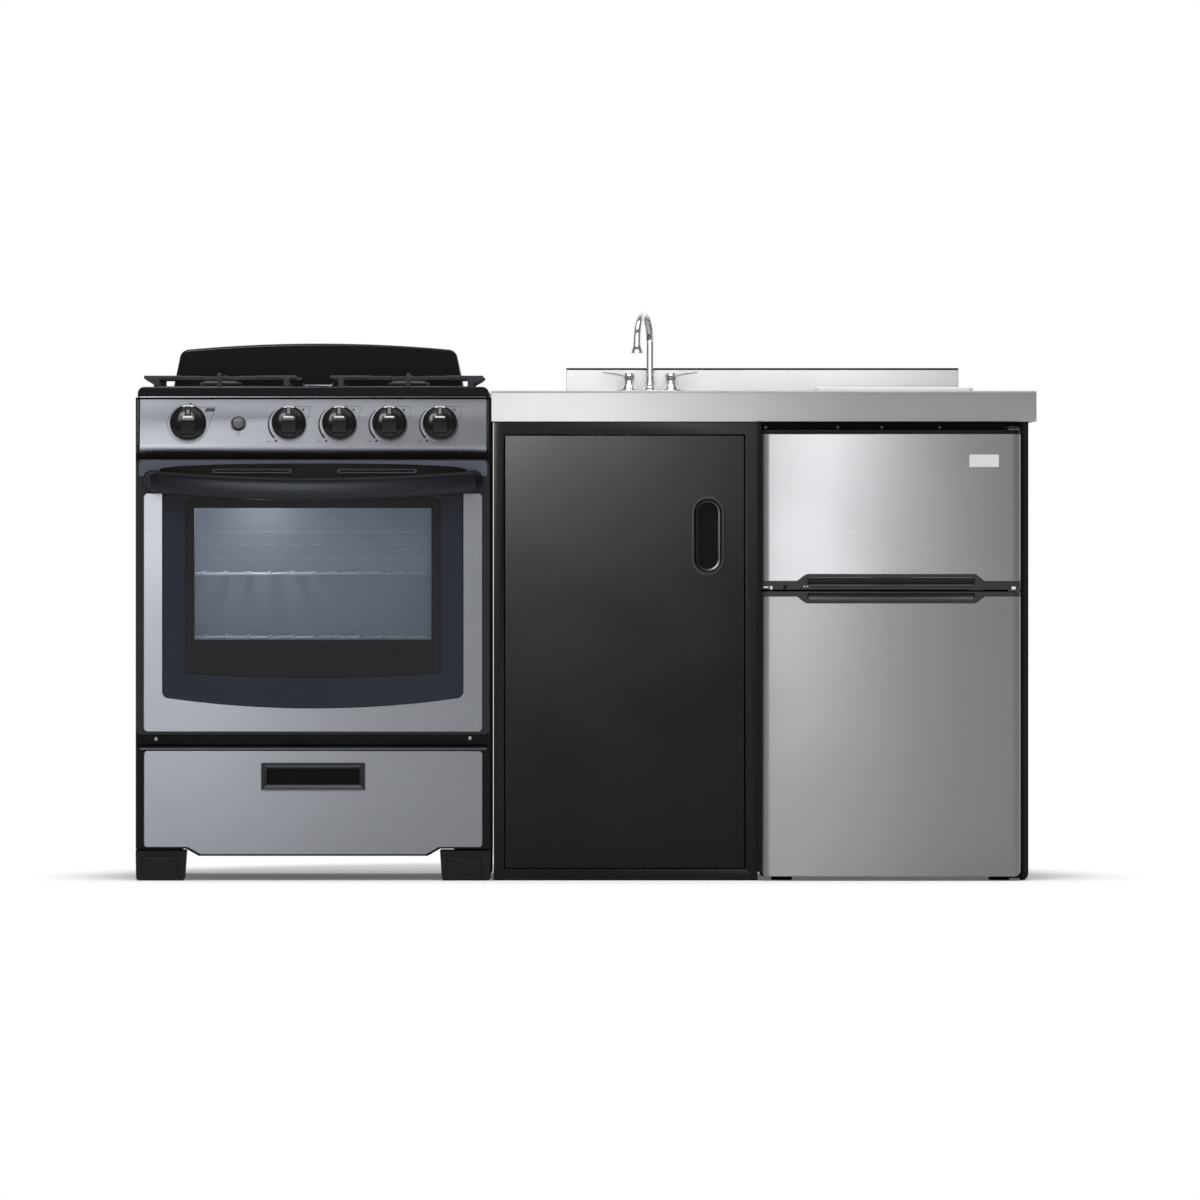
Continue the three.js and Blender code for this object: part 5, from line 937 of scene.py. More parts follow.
def door_handle():
    """The bar: black rounded ends that swell into a flat crescent, bowed out from the door."""
    b = Box("door_handle")
    stations, sides = 72, 28
    tall, sag = 41, 14.5
    back = b.y1
    reach = b.y1 - b.y0 - 20
    half = b.width / 2
    rings = []
    for i in range(stations + 1):
        t = -math.cos(math.pi * i / stations)       # from -1 at the left end to 1 at the right one
        end = min(1.0, math.sqrt(max(0.0, 1 - abs(t) ** 14)) + 0.02)
        x = range_x + t * half * 0.995
        height = tall * (0.62 + 0.38 * end) * min(1, end + 0.15)
        middle = HANDLE_Z - sag * (1 - t * t)
        out = back - 10.2 - (reach - 0.5) * math.sqrt(max(0.0, 1 - t * t)) ** 1.1
        thick = 10 if abs(t) < 0.97 else 10 * end
        ring = []
        for angle in turns(sides):
            c, s = math.cos(angle), math.sin(angle)
            y = thick * math.copysign(abs(c) ** 0.75, c)
            z = height / 2 * math.copysign(abs(s) ** 0.75, s)
            ring.append((x, out + y, middle + z))
        rings.append(ring)
    ends = [front_plate(rounded_rect(x - 19.5, x + 19.5, 707, 745.5, 15), back - 12, back)
            for x in (range_x - half + 20, range_x + half - 20)]
    piece("handle_bar", sweep(rings), HANDLE_BLACK, "oven_door", ("door_handle",))
    piece("handle_feet", join(*ends), HANDLE_BLACK, "oven_door", (), 4, 4)


def door_glass():
    """The tinted pane; behind it stand the oven's racks and, at the back, the ledges' faint edges."""
    paint("door_glass", OVEN_GLASS)
    liner = Box("oven_liner")
    y = liner.y1 - 8
    lines = []
    for row, dash, gap in ((532.4, 34, 9), (545, 26, 20), (559.7, 22, 32)):
        x, z = px(205, row)
        while x < px(418, row)[0]:
            lines.append(block(x, x + dash, y, y + 2, z - 0.9, z + 0.9))
            x += dash + gap
    piece("rack_guides", join(*lines), RACK_CHROME, "unit")


def inner_panel():
    """The door's inner sheet with a gasket round its edge."""
    b = Box("door_inner_panel")
    sheet = carve(copied("door_inner_panel"), window_hole(b.y0 - 5, b.y1 + 5))
    piece("inner_sheet", sheet, INNER_GREY, "oven_door", ("door_inner_panel",), 2.5, 3)
    loop = filleted([(b.x0 + 40, b.z0 + 40, 20), (b.x1 - 40, b.z0 + 40, 20), (b.x1 - 40, b.z1 - 25, 20),
                     (b.x0 + 40, b.z1 - 25, 20)], 6)
    points = [(p.x, b.y1 + 0.2, p.y) for p in loop]
    piece("oven_gasket", pipe(points + points[:1], 0.7, 8), GASKET, "oven_door")


# ---- range: drawer and feet ----------------------------------------------------------------------------

DRAWER_DIP = {"half": 205, "slope": 23, "rise": 13}     # the front reaches lower in its middle


def drawer():
    """A steel front over a black tray, with a deep black pull."""
    face = Box("drawer_front")
    tray = Box("drawer_box")
    pull = Box("drawer_pull")
    half = face.width / 2
    low, high = DRAWER_DIP["half"], DRAWER_DIP["half"] + DRAWER_DIP["slope"]
    side = face.z0 + DRAWER_DIP["rise"]
    corners = [(-half, side), (-high, side), (-low, face.z0), (low, face.z0), (high, side), (half, side),
               (half, face.z1), (-half, face.z1)]
    outline = filleted([(range_x + x, z, 6) for x, z in corners], 6)
    # the pull: a bezel with sloping inner sides round a deep pocket
    front, back = pull.y0, pull.y1
    edge, inner = 4.5, 10
    sheet = holed_plate(outline, [rounded_rect(*pull.front(edge), 1)], face.y0, face.y1, 1.2)
    piece("drawer_sheet", sheet, RANGE_STEEL, "drawer", ("drawer_front",), sharp=CRISP)
    eased("drawer_box", BODY_BLACK, "drawer", 1.6, 2)
    lip = front_plate(rounded_rect(tray.x0 + 6, tray.x1 - 6, face.z1 + 1.4, face.z1 + 5.6, 2),
                      face.y0 + 0.2, face.y1)
    piece("drawer_lip", lip, BAND_SLATE, "drawer", (), 1.2, 3)
    bezel = holed_plate(rounded_rect(*pull.front(), 2.5), [rounded_rect(*pull.front(edge), 0.5)],
                        front, front + 3)
    profile = [(front + 0.2, edge), (front + 4.5, inner), (back - 2, inner), (back, inner), (back, edge),
               (front + 3, edge)]
    walls = sweep([[(x, y, z) for x, z in rounded_rect(*pull.front(inset), 0.5)] for y, inset in profile],
                  hoop=True)
    floor = front_plate(rounded_rect(*pull.front(inner - 1), 0.5), back - 2.4, back - 0.4)
    piece("pull_cup", join(bezel, walls), PULL_BLACK, "drawer", ("drawer_pull",),
          sharp=CRISP)
    # the pocket's floor is far darker than its cup: painted shade
    piece("pull_pocket", floor, POCKET_NAVY_SHADE, "drawer")
    # painted highlights: pale strips on the bevels that catch the light, the inner one above the pocket and
    # the outer one under it
    catch = [block(pull.x0 + 9, pull.x1 - 9, front - 0.35, front + 0.2, pull.z1 - 6.2, pull.z1 - 5.0),
             block(pull.x0 + 3, pull.x1 - 3, front - 0.35, front + 0.2, pull.z0 + 1.2, pull.z0 + 2.4)]
    piece("pull_painted_highlights", join(*catch), PULL_PAINTED_HIGHLIGHT, "drawer")


FOOT_TAPER = 4
REAR_FOOT_SLIM = 20     # how much narrower the rear feet are, at their inner side


def feet():
    """Four tapered feet; the front ones carry a raised pad."""
    for where in ("front_left", "front_right", "rear_left", "rear_right"):
        node = f"foot_{where}"
        b = Box(node)
        slim = REAR_FOOT_SLIM if "rear" in where else 0
        left, right = (0, slim) if "left" in where else (slim, 0)
        low_left, low_right = (1, slim + FOOT_TAPER) if "left" in where else (slim + FOOT_TAPER, 1)
        outline = filleted([(b.x0 + low_left, b.z0, 6), (b.x1 - low_right, b.z0, 6), (b.x1 - right, b.z1, 2),
                            (b.x0 + left, b.z1, 2)], 5)
        piece(f"{node}_block", front_plate(outline, b.y0 + 4, b.y1), PLASTIC_BLACK, "unit",
              (node,), 2, 3)
        if "front" in where:
            shape = rounded_rect(b.x0 + 12, b.x1 - 17, b.z0 + 3, b.z1 - 14, [4, 4, 7, 7])
            piece(f"{node}_pad", front_plate(shape, b.y0, b.y0 + 5), PLASTIC_BLACK, "unit",
                  (), 2.2, 3)


def range_trim():
    """The two screws in the gap over the drawer."""
    for name, column, row in (("left", 156, 739), ("right", 470, 738)):
        x, z = px(column, row)
        head = lathe([(0, 0), (3.2, 0), (3.2, 1.0), (2.2, 1.8), (0, 2.0)], 24)
        screw = join(head, rod(1.6, -22, 0, 12))
        piece(f"screw_{name}", moved(screw, forward(x, RANGE.y0 - 20, z)), ZINC, "unit")


def oven_inside():
    """The range's body, the parts inside it and the faint lamp in the oven."""
    paint("range_body", BODY_BLACK)
    paint("oven_liner", OVEN_ENAMEL)
    paint("oven_burner", ZINC)
    paint("gas_manifold", ZINC)
    for name in KNOBS:
        paint(f"{name}_stem", BRASS)
    for which in ("lower", "upper"):
        eased(f"oven_rack_{which}", RACK_CHROME, f"oven_rack_{which}", 1.2, 2)
    lamp = bpy.data.lights.new("oven_lamp", "POINT")
    lamp.energy = 4.0
    lamp.color = (0.86, 0.9, 1.0)
    lamp.shadow_soft_size = 0.05
    lit = bpy.data.objects.new("oven_lamp", lamp)
    scene.collection.objects.link(lit)
    liner = Box("oven_liner")
    lit.location = ((liner.x0 + 140) * MM, (liner.y0 + 60) * MM, (liner.z1 - 30) * MM)


backguard()
cooktop()
for node in BURNERS:
    burner(node)
grates()
flue_trim()
control_panel()
panel_print()
for name in KNOBS:
    knob(name)
light_button()
door_frame()
door_trim()
door_handle()
door_glass()
inner_panel()
drawer()
feet()
range_trim()
oven_inside()


# ---- counter, sink and tap -----------------------------------------------------------------------------

COUNTER = Box("countertop")
APRON_BOTTOM = COUNTER.z0
COUNTER_TOP = Box("chopping_board").z0 - 0.3
tap_x = joint("spout_swivel")["pos_m"][0] / MM
tap_y = joint("spout_swivel")["pos_m"][1] / MM
DECK = COUNTER_TOP + 0.3


def counter():
    """The folded steel top with its apron, upstand and sink cut-out."""
    b = COUNTER
    bowl = Box("sink_bowl")
    sheet, flange = 4, 14
    section = filleted([(b.y0, b.z0, 0), (b.y1, b.z0, 0), (b.y1, COUNTER_TOP, 0), (b.y0, COUNTER_TOP, 5)], 8)
    shell = side_plate(section, b.x0, b.x1)
    under = block(*b.plan(sheet), b.z0 - 5, COUNTER_TOP - sheet)
    hole = floor_plate(rounded_rect(*bowl.plan(flange), 45, 12), COUNTER_TOP - 30, COUNTER_TOP + 5)
    piece("counter_sheet", carve(shell, under, hole), COUNTER_STEEL_LIGHTER, "unit",
          ("countertop",), 0.8, 2)
    x0, x1 = px(565.5, 0)[0], px(966, 0)[0]
    splash = front_plate(rounded_rect(x0, x1, COUNTER_TOP - 1, b.z1 - 3, [0, 0, 2, 2], 3), b.y1 - 12, b.y1)
    piece("splash_sheet", splash, COUNTER_STEEL_LIGHTER, "unit", (), 0.8, 2)
    cap = block(x0, x1, b.y1 - 12.4, b.y1, b.z1 - 3.6, b.z1)
    piece("splash_cap", cap, BODY_BLACK, "unit", (), 0.5, 2)
    bead = block(b.x0 + 2, b.x1 - 2, b.y1 - 15.5, b.y1 - 12.2, COUNTER_TOP - 0.2, COUNTER_TOP + 0.9)
    piece("splash_sealant", bead, GASKET, "unit", (), 0.4, 2)


def sink():
    """The bowl with its lift-out strainer and the trap below."""
    eased("sink_bowl", INNER_STEEL, "unit", 1.2, 3)
    b = Box("sink_strainer")
    z = b.z1 - 6
    r = b.width / 2
    cup = [(0, b.z0), (r - 12, b.z0), (r - 8, z), (r, z), (r, z + 1.4), (r - 1, z + 2), (r - 10, z + 2),
           (r - 13.5, b.z0 + 2), (5, b.z0 + 2), (5, z + 3), (7, z + 5), (6, z + 6), (0, z + 6)]
    piece("strainer_basket", shifted(lathe(cup, 48), b.x, b.y), CHROME, "sink_strainer",
          ("sink_strainer",))
    # the strainer's holes are dark discs: painted shade of the drain below
    holes = []
    for ring, count in ((10, 8), (15, 14)):
        for a in turns(count):
            spot = rod(1.6, b.z0 + 1.9, b.z0 + 2.2, 12)
            holes.append(shifted(spot, b.x + ring * math.cos(a), b.y + ring * math.sin(a)))
    piece("strainer_holes", join(*holes), OPENING_SHADE, "sink_strainer")
    eased("drain_trap", PIPE_WHITE, "unit", 0.0, 1)


TAP_PLATE = (64, 22)            # half its length and half its width
TAP_BASES = 38.5                # from the post to the middle of a lever's base
SPOUT_REACH, SPOUT_RADIUS, SPOUT_TUBE = 100, 50, 6.8
SPOUT_TURN = math.radians(-14)
POST = [(0, 0), (15.6, 0), (15.6, 1.2), (13.6, 3), (10.6, 6.5), (9.2, 10), (8.6, 14), (7.6, 14.4), (0, 14.4)]
BELL = [(0, 0), (17, 0), (17.2, 1.4), (15, 4), (12, 8), (10.4, 10.4), (0, 10.6)]
HUB = [(0, 0), (9.6, 0), (9.6, 1), (8.6, 3), (8.4, 8), (9.6, 13), (10.2, 17), (9.2, 20.5), (5.5, 23), (0, 24)]
AERATOR = [(0, 4), (8.4, 4), (8.6, 0), (10.6, 0), (11.4, 0.8), (11.0, 4), (9.2, 9), (7.8, 13), (7.2, 16),
           (7.4, 18), (0, 18.4)]
COLLAR = [(7.0, 14.6), (8.8, 14.6), (8.8, 17.4), (8.2, 18), (7.0, 18), (7.0, 14.6)]


def lever_blade(x, side, hub_z):
    """A flat lever that leaves its hub sideways, rises and widens before its rounded end."""
    rings = []
    for t in [i / 24 for i in range(25)]:
        reach = 2 + 48.5 * t
        height = hub_z + 14.5 + 10.5 * t ** 0.8 - 2.2 * t ** 3
        wide = 7.6 - 1.8 * t + 1.6 * math.exp(-((t - 0.82) / 0.2) ** 2)
        thick = 3.6 - 1.4 * t
        close = min(1.0, math.sqrt(max(0.0, 1 - max(0, (t - 0.93) / 0.0701) ** 2)) + 0.06)
        rings.append([(x + side * reach, tap_y + wide * close * math.cos(a),
                       height + thick * close * math.sin(a)) for a in turns(24)])
    return sweep(rings)


def tap():
    """A base plate with a swelling post and two bell-shaped bases, a gooseneck and two curved levers."""
    half_x, half_y = TAP_PLATE
    plate = rounded_rect(tap_x - half_x, tap_x + half_x, tap_y - half_y, tap_y + half_y, 21, 14)
    piece("tap_plate", floor_plate(plate, DECK, DECK + 4.4), CHROME, "unit",
          ("faucet_base",), 1.6, 3)
    z = DECK + 4.2
    hub_z = z + 10.9
    post = lathe(raised(z, POST), 48)
    piece("tap_post", shifted(post, tap_x, tap_y), CHROME, "unit")
    for side, where, lever in ((-1, "left", "lever_hot"), (1, "right", "lever_cold")):
        x = tap_x + side * TAP_BASES
        bell = lathe(raised(z, BELL), 48)
        piece(f"tap_bell_{where}", shifted(bell, x, tap_y), CHROME, "unit")
        hub = lathe(raised(hub_z, HUB), 48)
        piece(f"{lever}_hub", shifted(hub, x, tap_y), CHROME, lever, (lever,))
        piece(f"{lever}_blade", lever_blade(x, side, hub_z), CHROME, lever)
    arch_z = Box("faucet_spout").z1 - SPOUT_TUBE - SPOUT_RADIUS
    points = [(0, 0, z + 2), (0, 0, z + 10)]
    points += [(0, 0, arch_z * t + (z + 12) * (1 - t)) for t in [i / 10 for i in range(11)]]
    points += [(0, -SPOUT_RADIUS + SPOUT_RADIUS * math.cos(a), arch_z + SPOUT_RADIUS * math.sin(a))
               for a in [math.pi * i / 40 for i in range(1, 41)]]
    points += [(0, -SPOUT_REACH, arch_z - 5)]
    turn = Matrix.Translation((tap_x, tap_y, 0)) @ Matrix.Rotation(SPOUT_TURN, 4, "Z")
    neck = pipe(points, SPOUT_TUBE, 32)
    piece("spout_pipe", moved(neck, turn), CHROME, "faucet_spout", ("faucet_spout",))
    mouth = arch_z - 4 - 17
    aerator = shifted(lathe(raised(mouth, AERATOR), 48), 0, -SPOUT_REACH)
    piece("spout_aerator", moved(aerator, turn), CHROME, "faucet_spout")
    # a dark disc across the aerator's mouth: painted shade inside it
    screen = shifted(rod(8.3, mouth + 2.2, mouth + 3.9, 32), 0, -SPOUT_REACH)
    piece("spout_screen", moved(screen, turn), OPENING_SHADE, "faucet_spout")
    collar = lathe(raised(z, COLLAR), 40)
    piece("spout_collar", shifted(collar, tap_x, tap_y), CHROME, "faucet_spout")


def board():
    """The white chopping board."""
    b = Box("chopping_board")
    slab = floor_plate(rounded_rect(*b.plan(), 12, 10), b.z0, b.z1)
    piece("board_slab", slab, BOARD_WHITE, "chopping_board", ("chopping_board",), 2.4, 4)


# ---- cabinet -------------------------------------------------------------------------------------------

PIN_NOTCH = (3, 9)              # half the width and the depth of the notches for the pivot pins
PULL_RIM = 4
PULL_LIP = [(0.0, 2.0), (0.0, 1.0), (1.2, 0), (5.6, 0), (7.0, 1.4), (7.4, 4)]      # inset, way back


def cabinet():
    """A plain black body and door, with a recessed stadium pull."""
    eased("cabinet_body", CABINET_BLACK, "unit", 0.25, 1)
    b = Box("cabinet_door")
    pull = Box("cabinet_pull")
    hole = rounded_rect(*pull.front(PULL_RIM), pull.width / 2 - PULL_RIM - 0.01, 24)
    # notches at the foot and head let the pivot pins in
    x = joint("cabinet_door_hinge")["pos_m"][0] / MM
    half, deep = PIN_NOTCH
    notched = [(b.x0, b.z0), (x - half, b.z0), (x - half, b.z0 + deep), (x + half, b.z0 + deep),
               (x + half, b.z0), (b.x1, b.z0), (b.x1, b.z1), (x + half, b.z1), (x + half, b.z1 - deep),
               (x - half, b.z1 - deep), (x - half, b.z1), (b.x0, b.z1)]
    core = holed_plate([Vector(p) for p in notched], [hole], b.y0 + 1.3, b.y1)
    leaf = holed_plate(rounded_rect(*b.front(), 1.5, 4), [hole], b.y0, b.y0 + 1.2, 0.6)
    piece("door_core", core, CABINET_BLACK, "cabinet_door", sharp=CRISP)
    piece("door_leaf", leaf, CABINET_BLACK, "cabinet_door", ("cabinet_door",), sharp=CRISP)
    face, back = pull.y0, pull.y1

    def stadium(inset):
        return rounded_rect(*pull.front(inset), pull.width / 2 - inset - 0.01, 28)

    profile = [(inset, face + way) for inset, way in PULL_LIP]
    profile += [(7.6, back - 6), (9.4, back - 2.6), (13, back - 2.0), (13, back), (4.6, back),
                (4.6, face + 2.0)]
    cup = sweep([[(p.x, y, p.y) for p in stadium(inset)] for inset, y in profile], hoop=True)
    floor = front_plate([(p.x, p.y) for p in stadium(12.5)], back - 2.2, back)
    piece("pull_cup_rim", cup, CABINET_PULL, "cabinet_door", ("cabinet_pull",))
    # the pull's floor is darker than its rim: painted shade in the recess
    piece("pull_floor", floor, CABINET_RECESS_SHADE, "cabinet_door")


# ---- refrigerator --------------------------------------------------------------------------------------

FREEZER = Box("freezer_door")
FRIDGE = Box("fridge_door")
FREEZER_GRIP = Box("freezer_grip")
FRIDGE_GRIP = Box("fridge_grip")
fridge_x = FREEZER.x
half_door = FREEZER.width / 2
DOOR_BOW = 7.0                      # how far the doors' middle stands before their corners
DOOR_FRONT = FRIDGE.y0 + DOOR_BOW   # the plane of the corners
SKIN_BACK = FREEZER.y1 - 22
SHELL_BACK = FREEZER.y1 - 5
CAP_HEIGHT = 6.5                    # the black strip over the freezer's steel
GRIP_HALF = 153.5
GRIP_CHAMFER = 16.5
GRIP_BACK = FREEZER.y1 - 24
UPPER_EDGE, UPPER_PEAK = 543.8, 556.3       # the freezer's grip, at the door's ends and at its middle
LOWER_EDGE, LOWER_PEAK = 517.2, 504.7       # the same for the refrigerator's
POCKET_LOW, POCKET_HIGH = 537.8, 549.6      # the finger pocket over the freezer grip's bar
REST_LOW, REST_HIGH = 511.0, 522.4          # the slope under the split between the doors


def bowed(half, y, back, radius=16, bow=DOOR_BOW):
    """A door's plan: a gently bowed front between rounded corners."""
    front = []
    for t in [i / 48 for i in range(1, 48)]:
        x = -half + radius + (2 * half - 2 * radius) * t
        front.append((fridge_x + x, y - bow * (1 - (2 * t - 1) ** 2)))
    quarter = [math.pi / 2 * k / 10 for k in range(11)]
    left = [(fridge_x - half + radius - radius * math.cos(a), y + radius - radius * math.sin(a))
            for a in quarter]
    right = [(fridge_x + half - radius + radius * math.sin(a), y + radius - radius * math.cos(a))
             for a in quarter]
    outline = [(fridge_x - half, back), *left, *front, *right, (fridge_x + half, back)]
    return [Vector(p) for p in outline]


def door_plane(x):
    """Where the bowed front stands at x."""
    return DOOR_FRONT - DOOR_BOW * (1 - (x - fridge_x) ** 2 / half_door ** 2)


def grip_outline(base, edge, peak, grow=0.0):
    """The front view of the grip between a door's end and the steel; it is taller in the middle."""
    way = 1 if peak > base else -1
    top, foot = GRIP_HALF + grow, GRIP_HALF + GRIP_CHAMFER + grow
    edge, peak = edge + way * grow, peak + way * grow
    corners = [(-300, base, 0), (300, base, 0), (300, edge, 0), (foot, edge, 6), (top, peak, 12),
               (-top, peak, 12), (-foot, edge, 6), (-300, edge, 0)]
    return [(fridge_x + p.x, p.y) for p in filleted(corners, 8)]


def pin_hole(z):
    """What the hinge pin takes out of a door round the height z."""
    x, y = [v / MM for v in joint("freezer_door_hinge")["pos_m"][:2]]
    return shifted(rod(3.6, -9, 9, 16), x, y, z)


def door_shape(inset, z0, z1, *more):
    """A rounded front view as wide as a door less an inset at either side."""
    return rounded_rect(fridge_x - half_door + inset, fridge_x + half_door - inset, z0, z1, *more)


def fridge_doors():
    """Two bowed steel fronts over dark door shells with white liners and grey seals."""
    steel = floor_plate(bowed(half_door, DOOR_FRONT, SKIN_BACK), FREEZER.z0 - 2, FREEZER.z1 - CAP_HEIGHT)
    grip = right_through(grip_outline(FREEZER_GRIP.z0 - 5, UPPER_EDGE, UPPER_PEAK, 0.3))
    level = block(fridge_x - 400, fridge_x + 400, -THROUGH, THROUGH, 0, UPPER_EDGE + 0.3)
    piece("freezer_skin", carve(steel, grip, level), FRIDGE_STEEL, "freezer_door",
          ("freezer_door",), 1.2, 3)
    head = floor_plate(bowed(half_door - 0.4, DOOR_FRONT + 0.4, SHELL_BACK),
                       FREEZER.z1 - CAP_HEIGHT + 0.2, FREEZER.z1)
    piece("freezer_cap", carve(head, pin_hole(FREEZER.z1)), FRIDGE_BLACK, "freezer_door",
          (), 1.5, 3)
    shell = block(fridge_x - half_door + 1, fridge_x + half_door - 1, SKIN_BACK + 0.2, SHELL_BACK,
                  FREEZER_GRIP.z0 + 0.2, FREEZER.z1 - CAP_HEIGHT)
    pins = [pin_hole(z) for z in (FREEZER.z1, FREEZER_GRIP.z0)]
    piece("freezer_shell", carve(shell, *pins), FRIDGE_BLACK, "freezer_door", (), 1, 2)
    liner_and_seal("freezer", "freezer_door", FREEZER_GRIP.z0 + 4, FREEZER.z1 - 4)

    steel = floor_plate(bowed(half_door, DOOR_FRONT, SKIN_BACK), FRIDGE.z0, FRIDGE.z1 + 2)
    face = right_through(door_shape(0, FRIDGE.z0, 700, [12, 12, 0, 0], 10))
    shaped = carve(steel, face, operation="INTERSECT")
    grip = right_through(grip_outline(FRIDGE_GRIP.z1 + 5, LOWER_EDGE, LOWER_PEAK, 0.3))
    level = block(fridge_x - 400, fridge_x + 400, -THROUGH, THROUGH, LOWER_EDGE - 0.3, THROUGH)
    piece("fridge_skin", carve(shaped, grip, level), FRIDGE_STEEL, "fridge_door",
          ("fridge_door",), 1.2, 3)
    shell = front_plate(door_shape(1, FRIDGE.z0 + 0.5, FRIDGE_GRIP.z1 - 0.2, [12, 12, 0, 0], 8),
                        SKIN_BACK + 0.2, SHELL_BACK)
    pins = [pin_hole(z) for z in (FRIDGE.z0, FRIDGE_GRIP.z1)]
    piece("fridge_shell", carve(shell, *pins), FRIDGE_BLACK, "fridge_door", (), 1, 2)
    liner_and_seal("fridge", "fridge_door", FRIDGE.z0 + 4, FRIDGE_GRIP.z1 - 4)


def liner_and_seal(name, body, z0, z1):
    """The grey magnetic seal round the back of a door and the white inner face inside it."""
    seal = holed_plate(door_shape(8, z0, z1, 8, 6), [door_shape(22, z0 + 14, z1 - 14, 5, 6)],
                       SHELL_BACK, SHELL_BACK + 4.6)
    piece(f"{name}_seal", seal, GASKET, body, sharp=CRISP)
    panel = front_plate(door_shape(23, z0 + 15, z1 - 15, 6, 6), SHELL_BACK, SHELL_BACK + 3.4)
    piece(f"{name}_door_liner", panel, LINER_WHITE, body, (), 1.4, 3)


def grips():
    """The charcoal grips: a framed pocket over a bar above, a sloping finger rest below."""
    plan = bowed(half_door, DOOR_FRONT, GRIP_BACK)
    half = GRIP_HALF - 2
    front = DOOR_FRONT - DOOR_BOW

    def sideways(outline, inset=0):
        return side_plate(outline, fridge_x - half + inset, fridge_x + half - inset)

    upper = carve(floor_plate(plan, FREEZER_GRIP.z0, UPPER_PEAK),
                  right_through(grip_outline(FREEZER_GRIP.z0, UPPER_EDGE, UPPER_PEAK)), operation="INTERSECT")
    deep = front + 17
    pocket = sideways([(-THROUGH, POCKET_HIGH), (-THROUGH, POCKET_LOW), (deep, POCKET_LOW),
                       (deep, POCKET_HIGH)])
    piece("freezer_grip_bar", carve(upper, pocket, pin_hole(FREEZER_GRIP.z0)), GRIP_BLACK, "freezer_door",
          ("freezer_grip",), 1.0, 3)
    lower = carve(floor_plate(plan, LOWER_PEAK, FRIDGE_GRIP.z1),
                  right_through(grip_outline(FRIDGE_GRIP.z1, LOWER_EDGE, LOWER_PEAK)), operation="INTERSECT")
    slope = sideways([(-THROUGH, REST_LOW), (front + 2, REST_LOW), (deep, REST_HIGH),
                      (-THROUGH, REST_HIGH)])
    piece("fridge_grip_rest", carve(lower, slope, pin_hole(FRIDGE_GRIP.z1)), GRIP_BLACK, "fridge_door",
          ("fridge_grip",), 1.0, 3)
    # a grey strip on the sloping rest: painted light where the slope faces up
    pad = sideways([(front + 2.6, 511.5), (front + 16.4, 522.0), (front + 17.2, 521.6),
                    (front + 3.4, 511.0)], 2)
    piece("fridge_grip_lit_slope", pad, GRIP_GREY_AND_LIT_SLOPE, "fridge_door")
    for name, z in (("freezer", 537.2), ("pocket", 550.8)):
        line = block(fridge_x - half + 3, fridge_x + half - 3, front + 0.2, front + 1.4, z - 0.6, z + 0.6)
        piece(f"{name}_grip_line", line, GRIP_GREY_AND_LIT_SLOPE, "freezer_door", (), 0.2, 1)


def fridge_inside():
    """White liners in the two compartments, the glass shelf and the compressor at the back."""
    paint("fridge_body", FRIDGE_BLACK)
    body = Box("fridge_body")
    shelf = Box("fridge_shelf")
    half = shelf.width / 2 + 1.2
    front, back = body.y0 + 0.5, shelf.y1 + 1.0
    split, divider, wall = 527, 20, 0.8
    ledges = [block(fridge_x + s * half - 11, fridge_x + s * half + 11, front + 15, back + 5,
                    shelf.z0 - 9.5, shelf.z0) for s in (-1, 1)]
    for name, z0, z1, extra in (("freezer", split + divider, body.z1 - 38, []),
                                ("fridge", 206.4, split - divider, ledges)):
        box = block(fridge_x - half, fridge_x + half, front, back, z0 + 0.3, z1 - 0.3)
        room = block(fridge_x - half + wall, fridge_x + half - wall, front - 5, back - wall,
                     z0 + 1.1, z1 - 1.1)
        piece(f"{name}_liner", carve(box, room, *extra), LINER_WHITE, "unit")
    glass = block(shelf.x0 + 5, shelf.x1 - 5, shelf.y0 + 10, shelf.y1 - 5, shelf.z0 + 3, shelf.z1 - 1)
    piece("shelf_pane", glass, SHELF_GLASS, "fridge_shelf", ("fridge_shelf",), 0.5, 2)
    rim = block(*shelf.plan(), shelf.z0, shelf.z1)
    inside = block(shelf.x0 + 7, shelf.x1 - 7, shelf.y0 + 12, shelf.y1 - 7, shelf.z0 - 5, shelf.z1 + 5)
    groove = block(shelf.x0 + 4.6, shelf.x1 - 4.6, shelf.y0 + 9.6, shelf.y1 - 4.6,
                   shelf.z0 + 2.8, shelf.z1 - 0.8)
    piece("shelf_rim", carve(rim, inside, groove), LINER_WHITE, "fridge_shelf", (), 0.8, 2)
    eased("compressor", FRIDGE_BLACK, "unit", 0.0, 1)
    eased("hinge_top", ZINC, "unit", 0.5, 2)
    eased("hinge_middle", ZINC, "unit", 0.5, 2)


# hooks, notch, dots and bolt in the grip's line, in the photograph's pixels: left, right, top, bottom
BETWEEN_DOORS = (
    ("hook_left", 763.5, 768.5, 586.4, 588.0, SILVER_AND_GLINT),
    ("hook_right", 770.0, 772.6, 586.0, 589.4, SILVER_AND_GLINT),
    ("notch", 783.4, 786.6, 585.2, 589.2, BODY_BLACK),
    ("dot_left", 803.8, 805.2, 585.8, 587.2, SILVER_AND_GLINT),
    ("dot_right", 806.8, 808.2, 585.8, 587.2, SILVER_AND_GLINT),
    ("bolt", 1011.6, 1015.8, 586.6, 589.4, LINER_WHITE),
)
TOP_SCREWS = (766, 838, 882, 940, 1013)     # columns


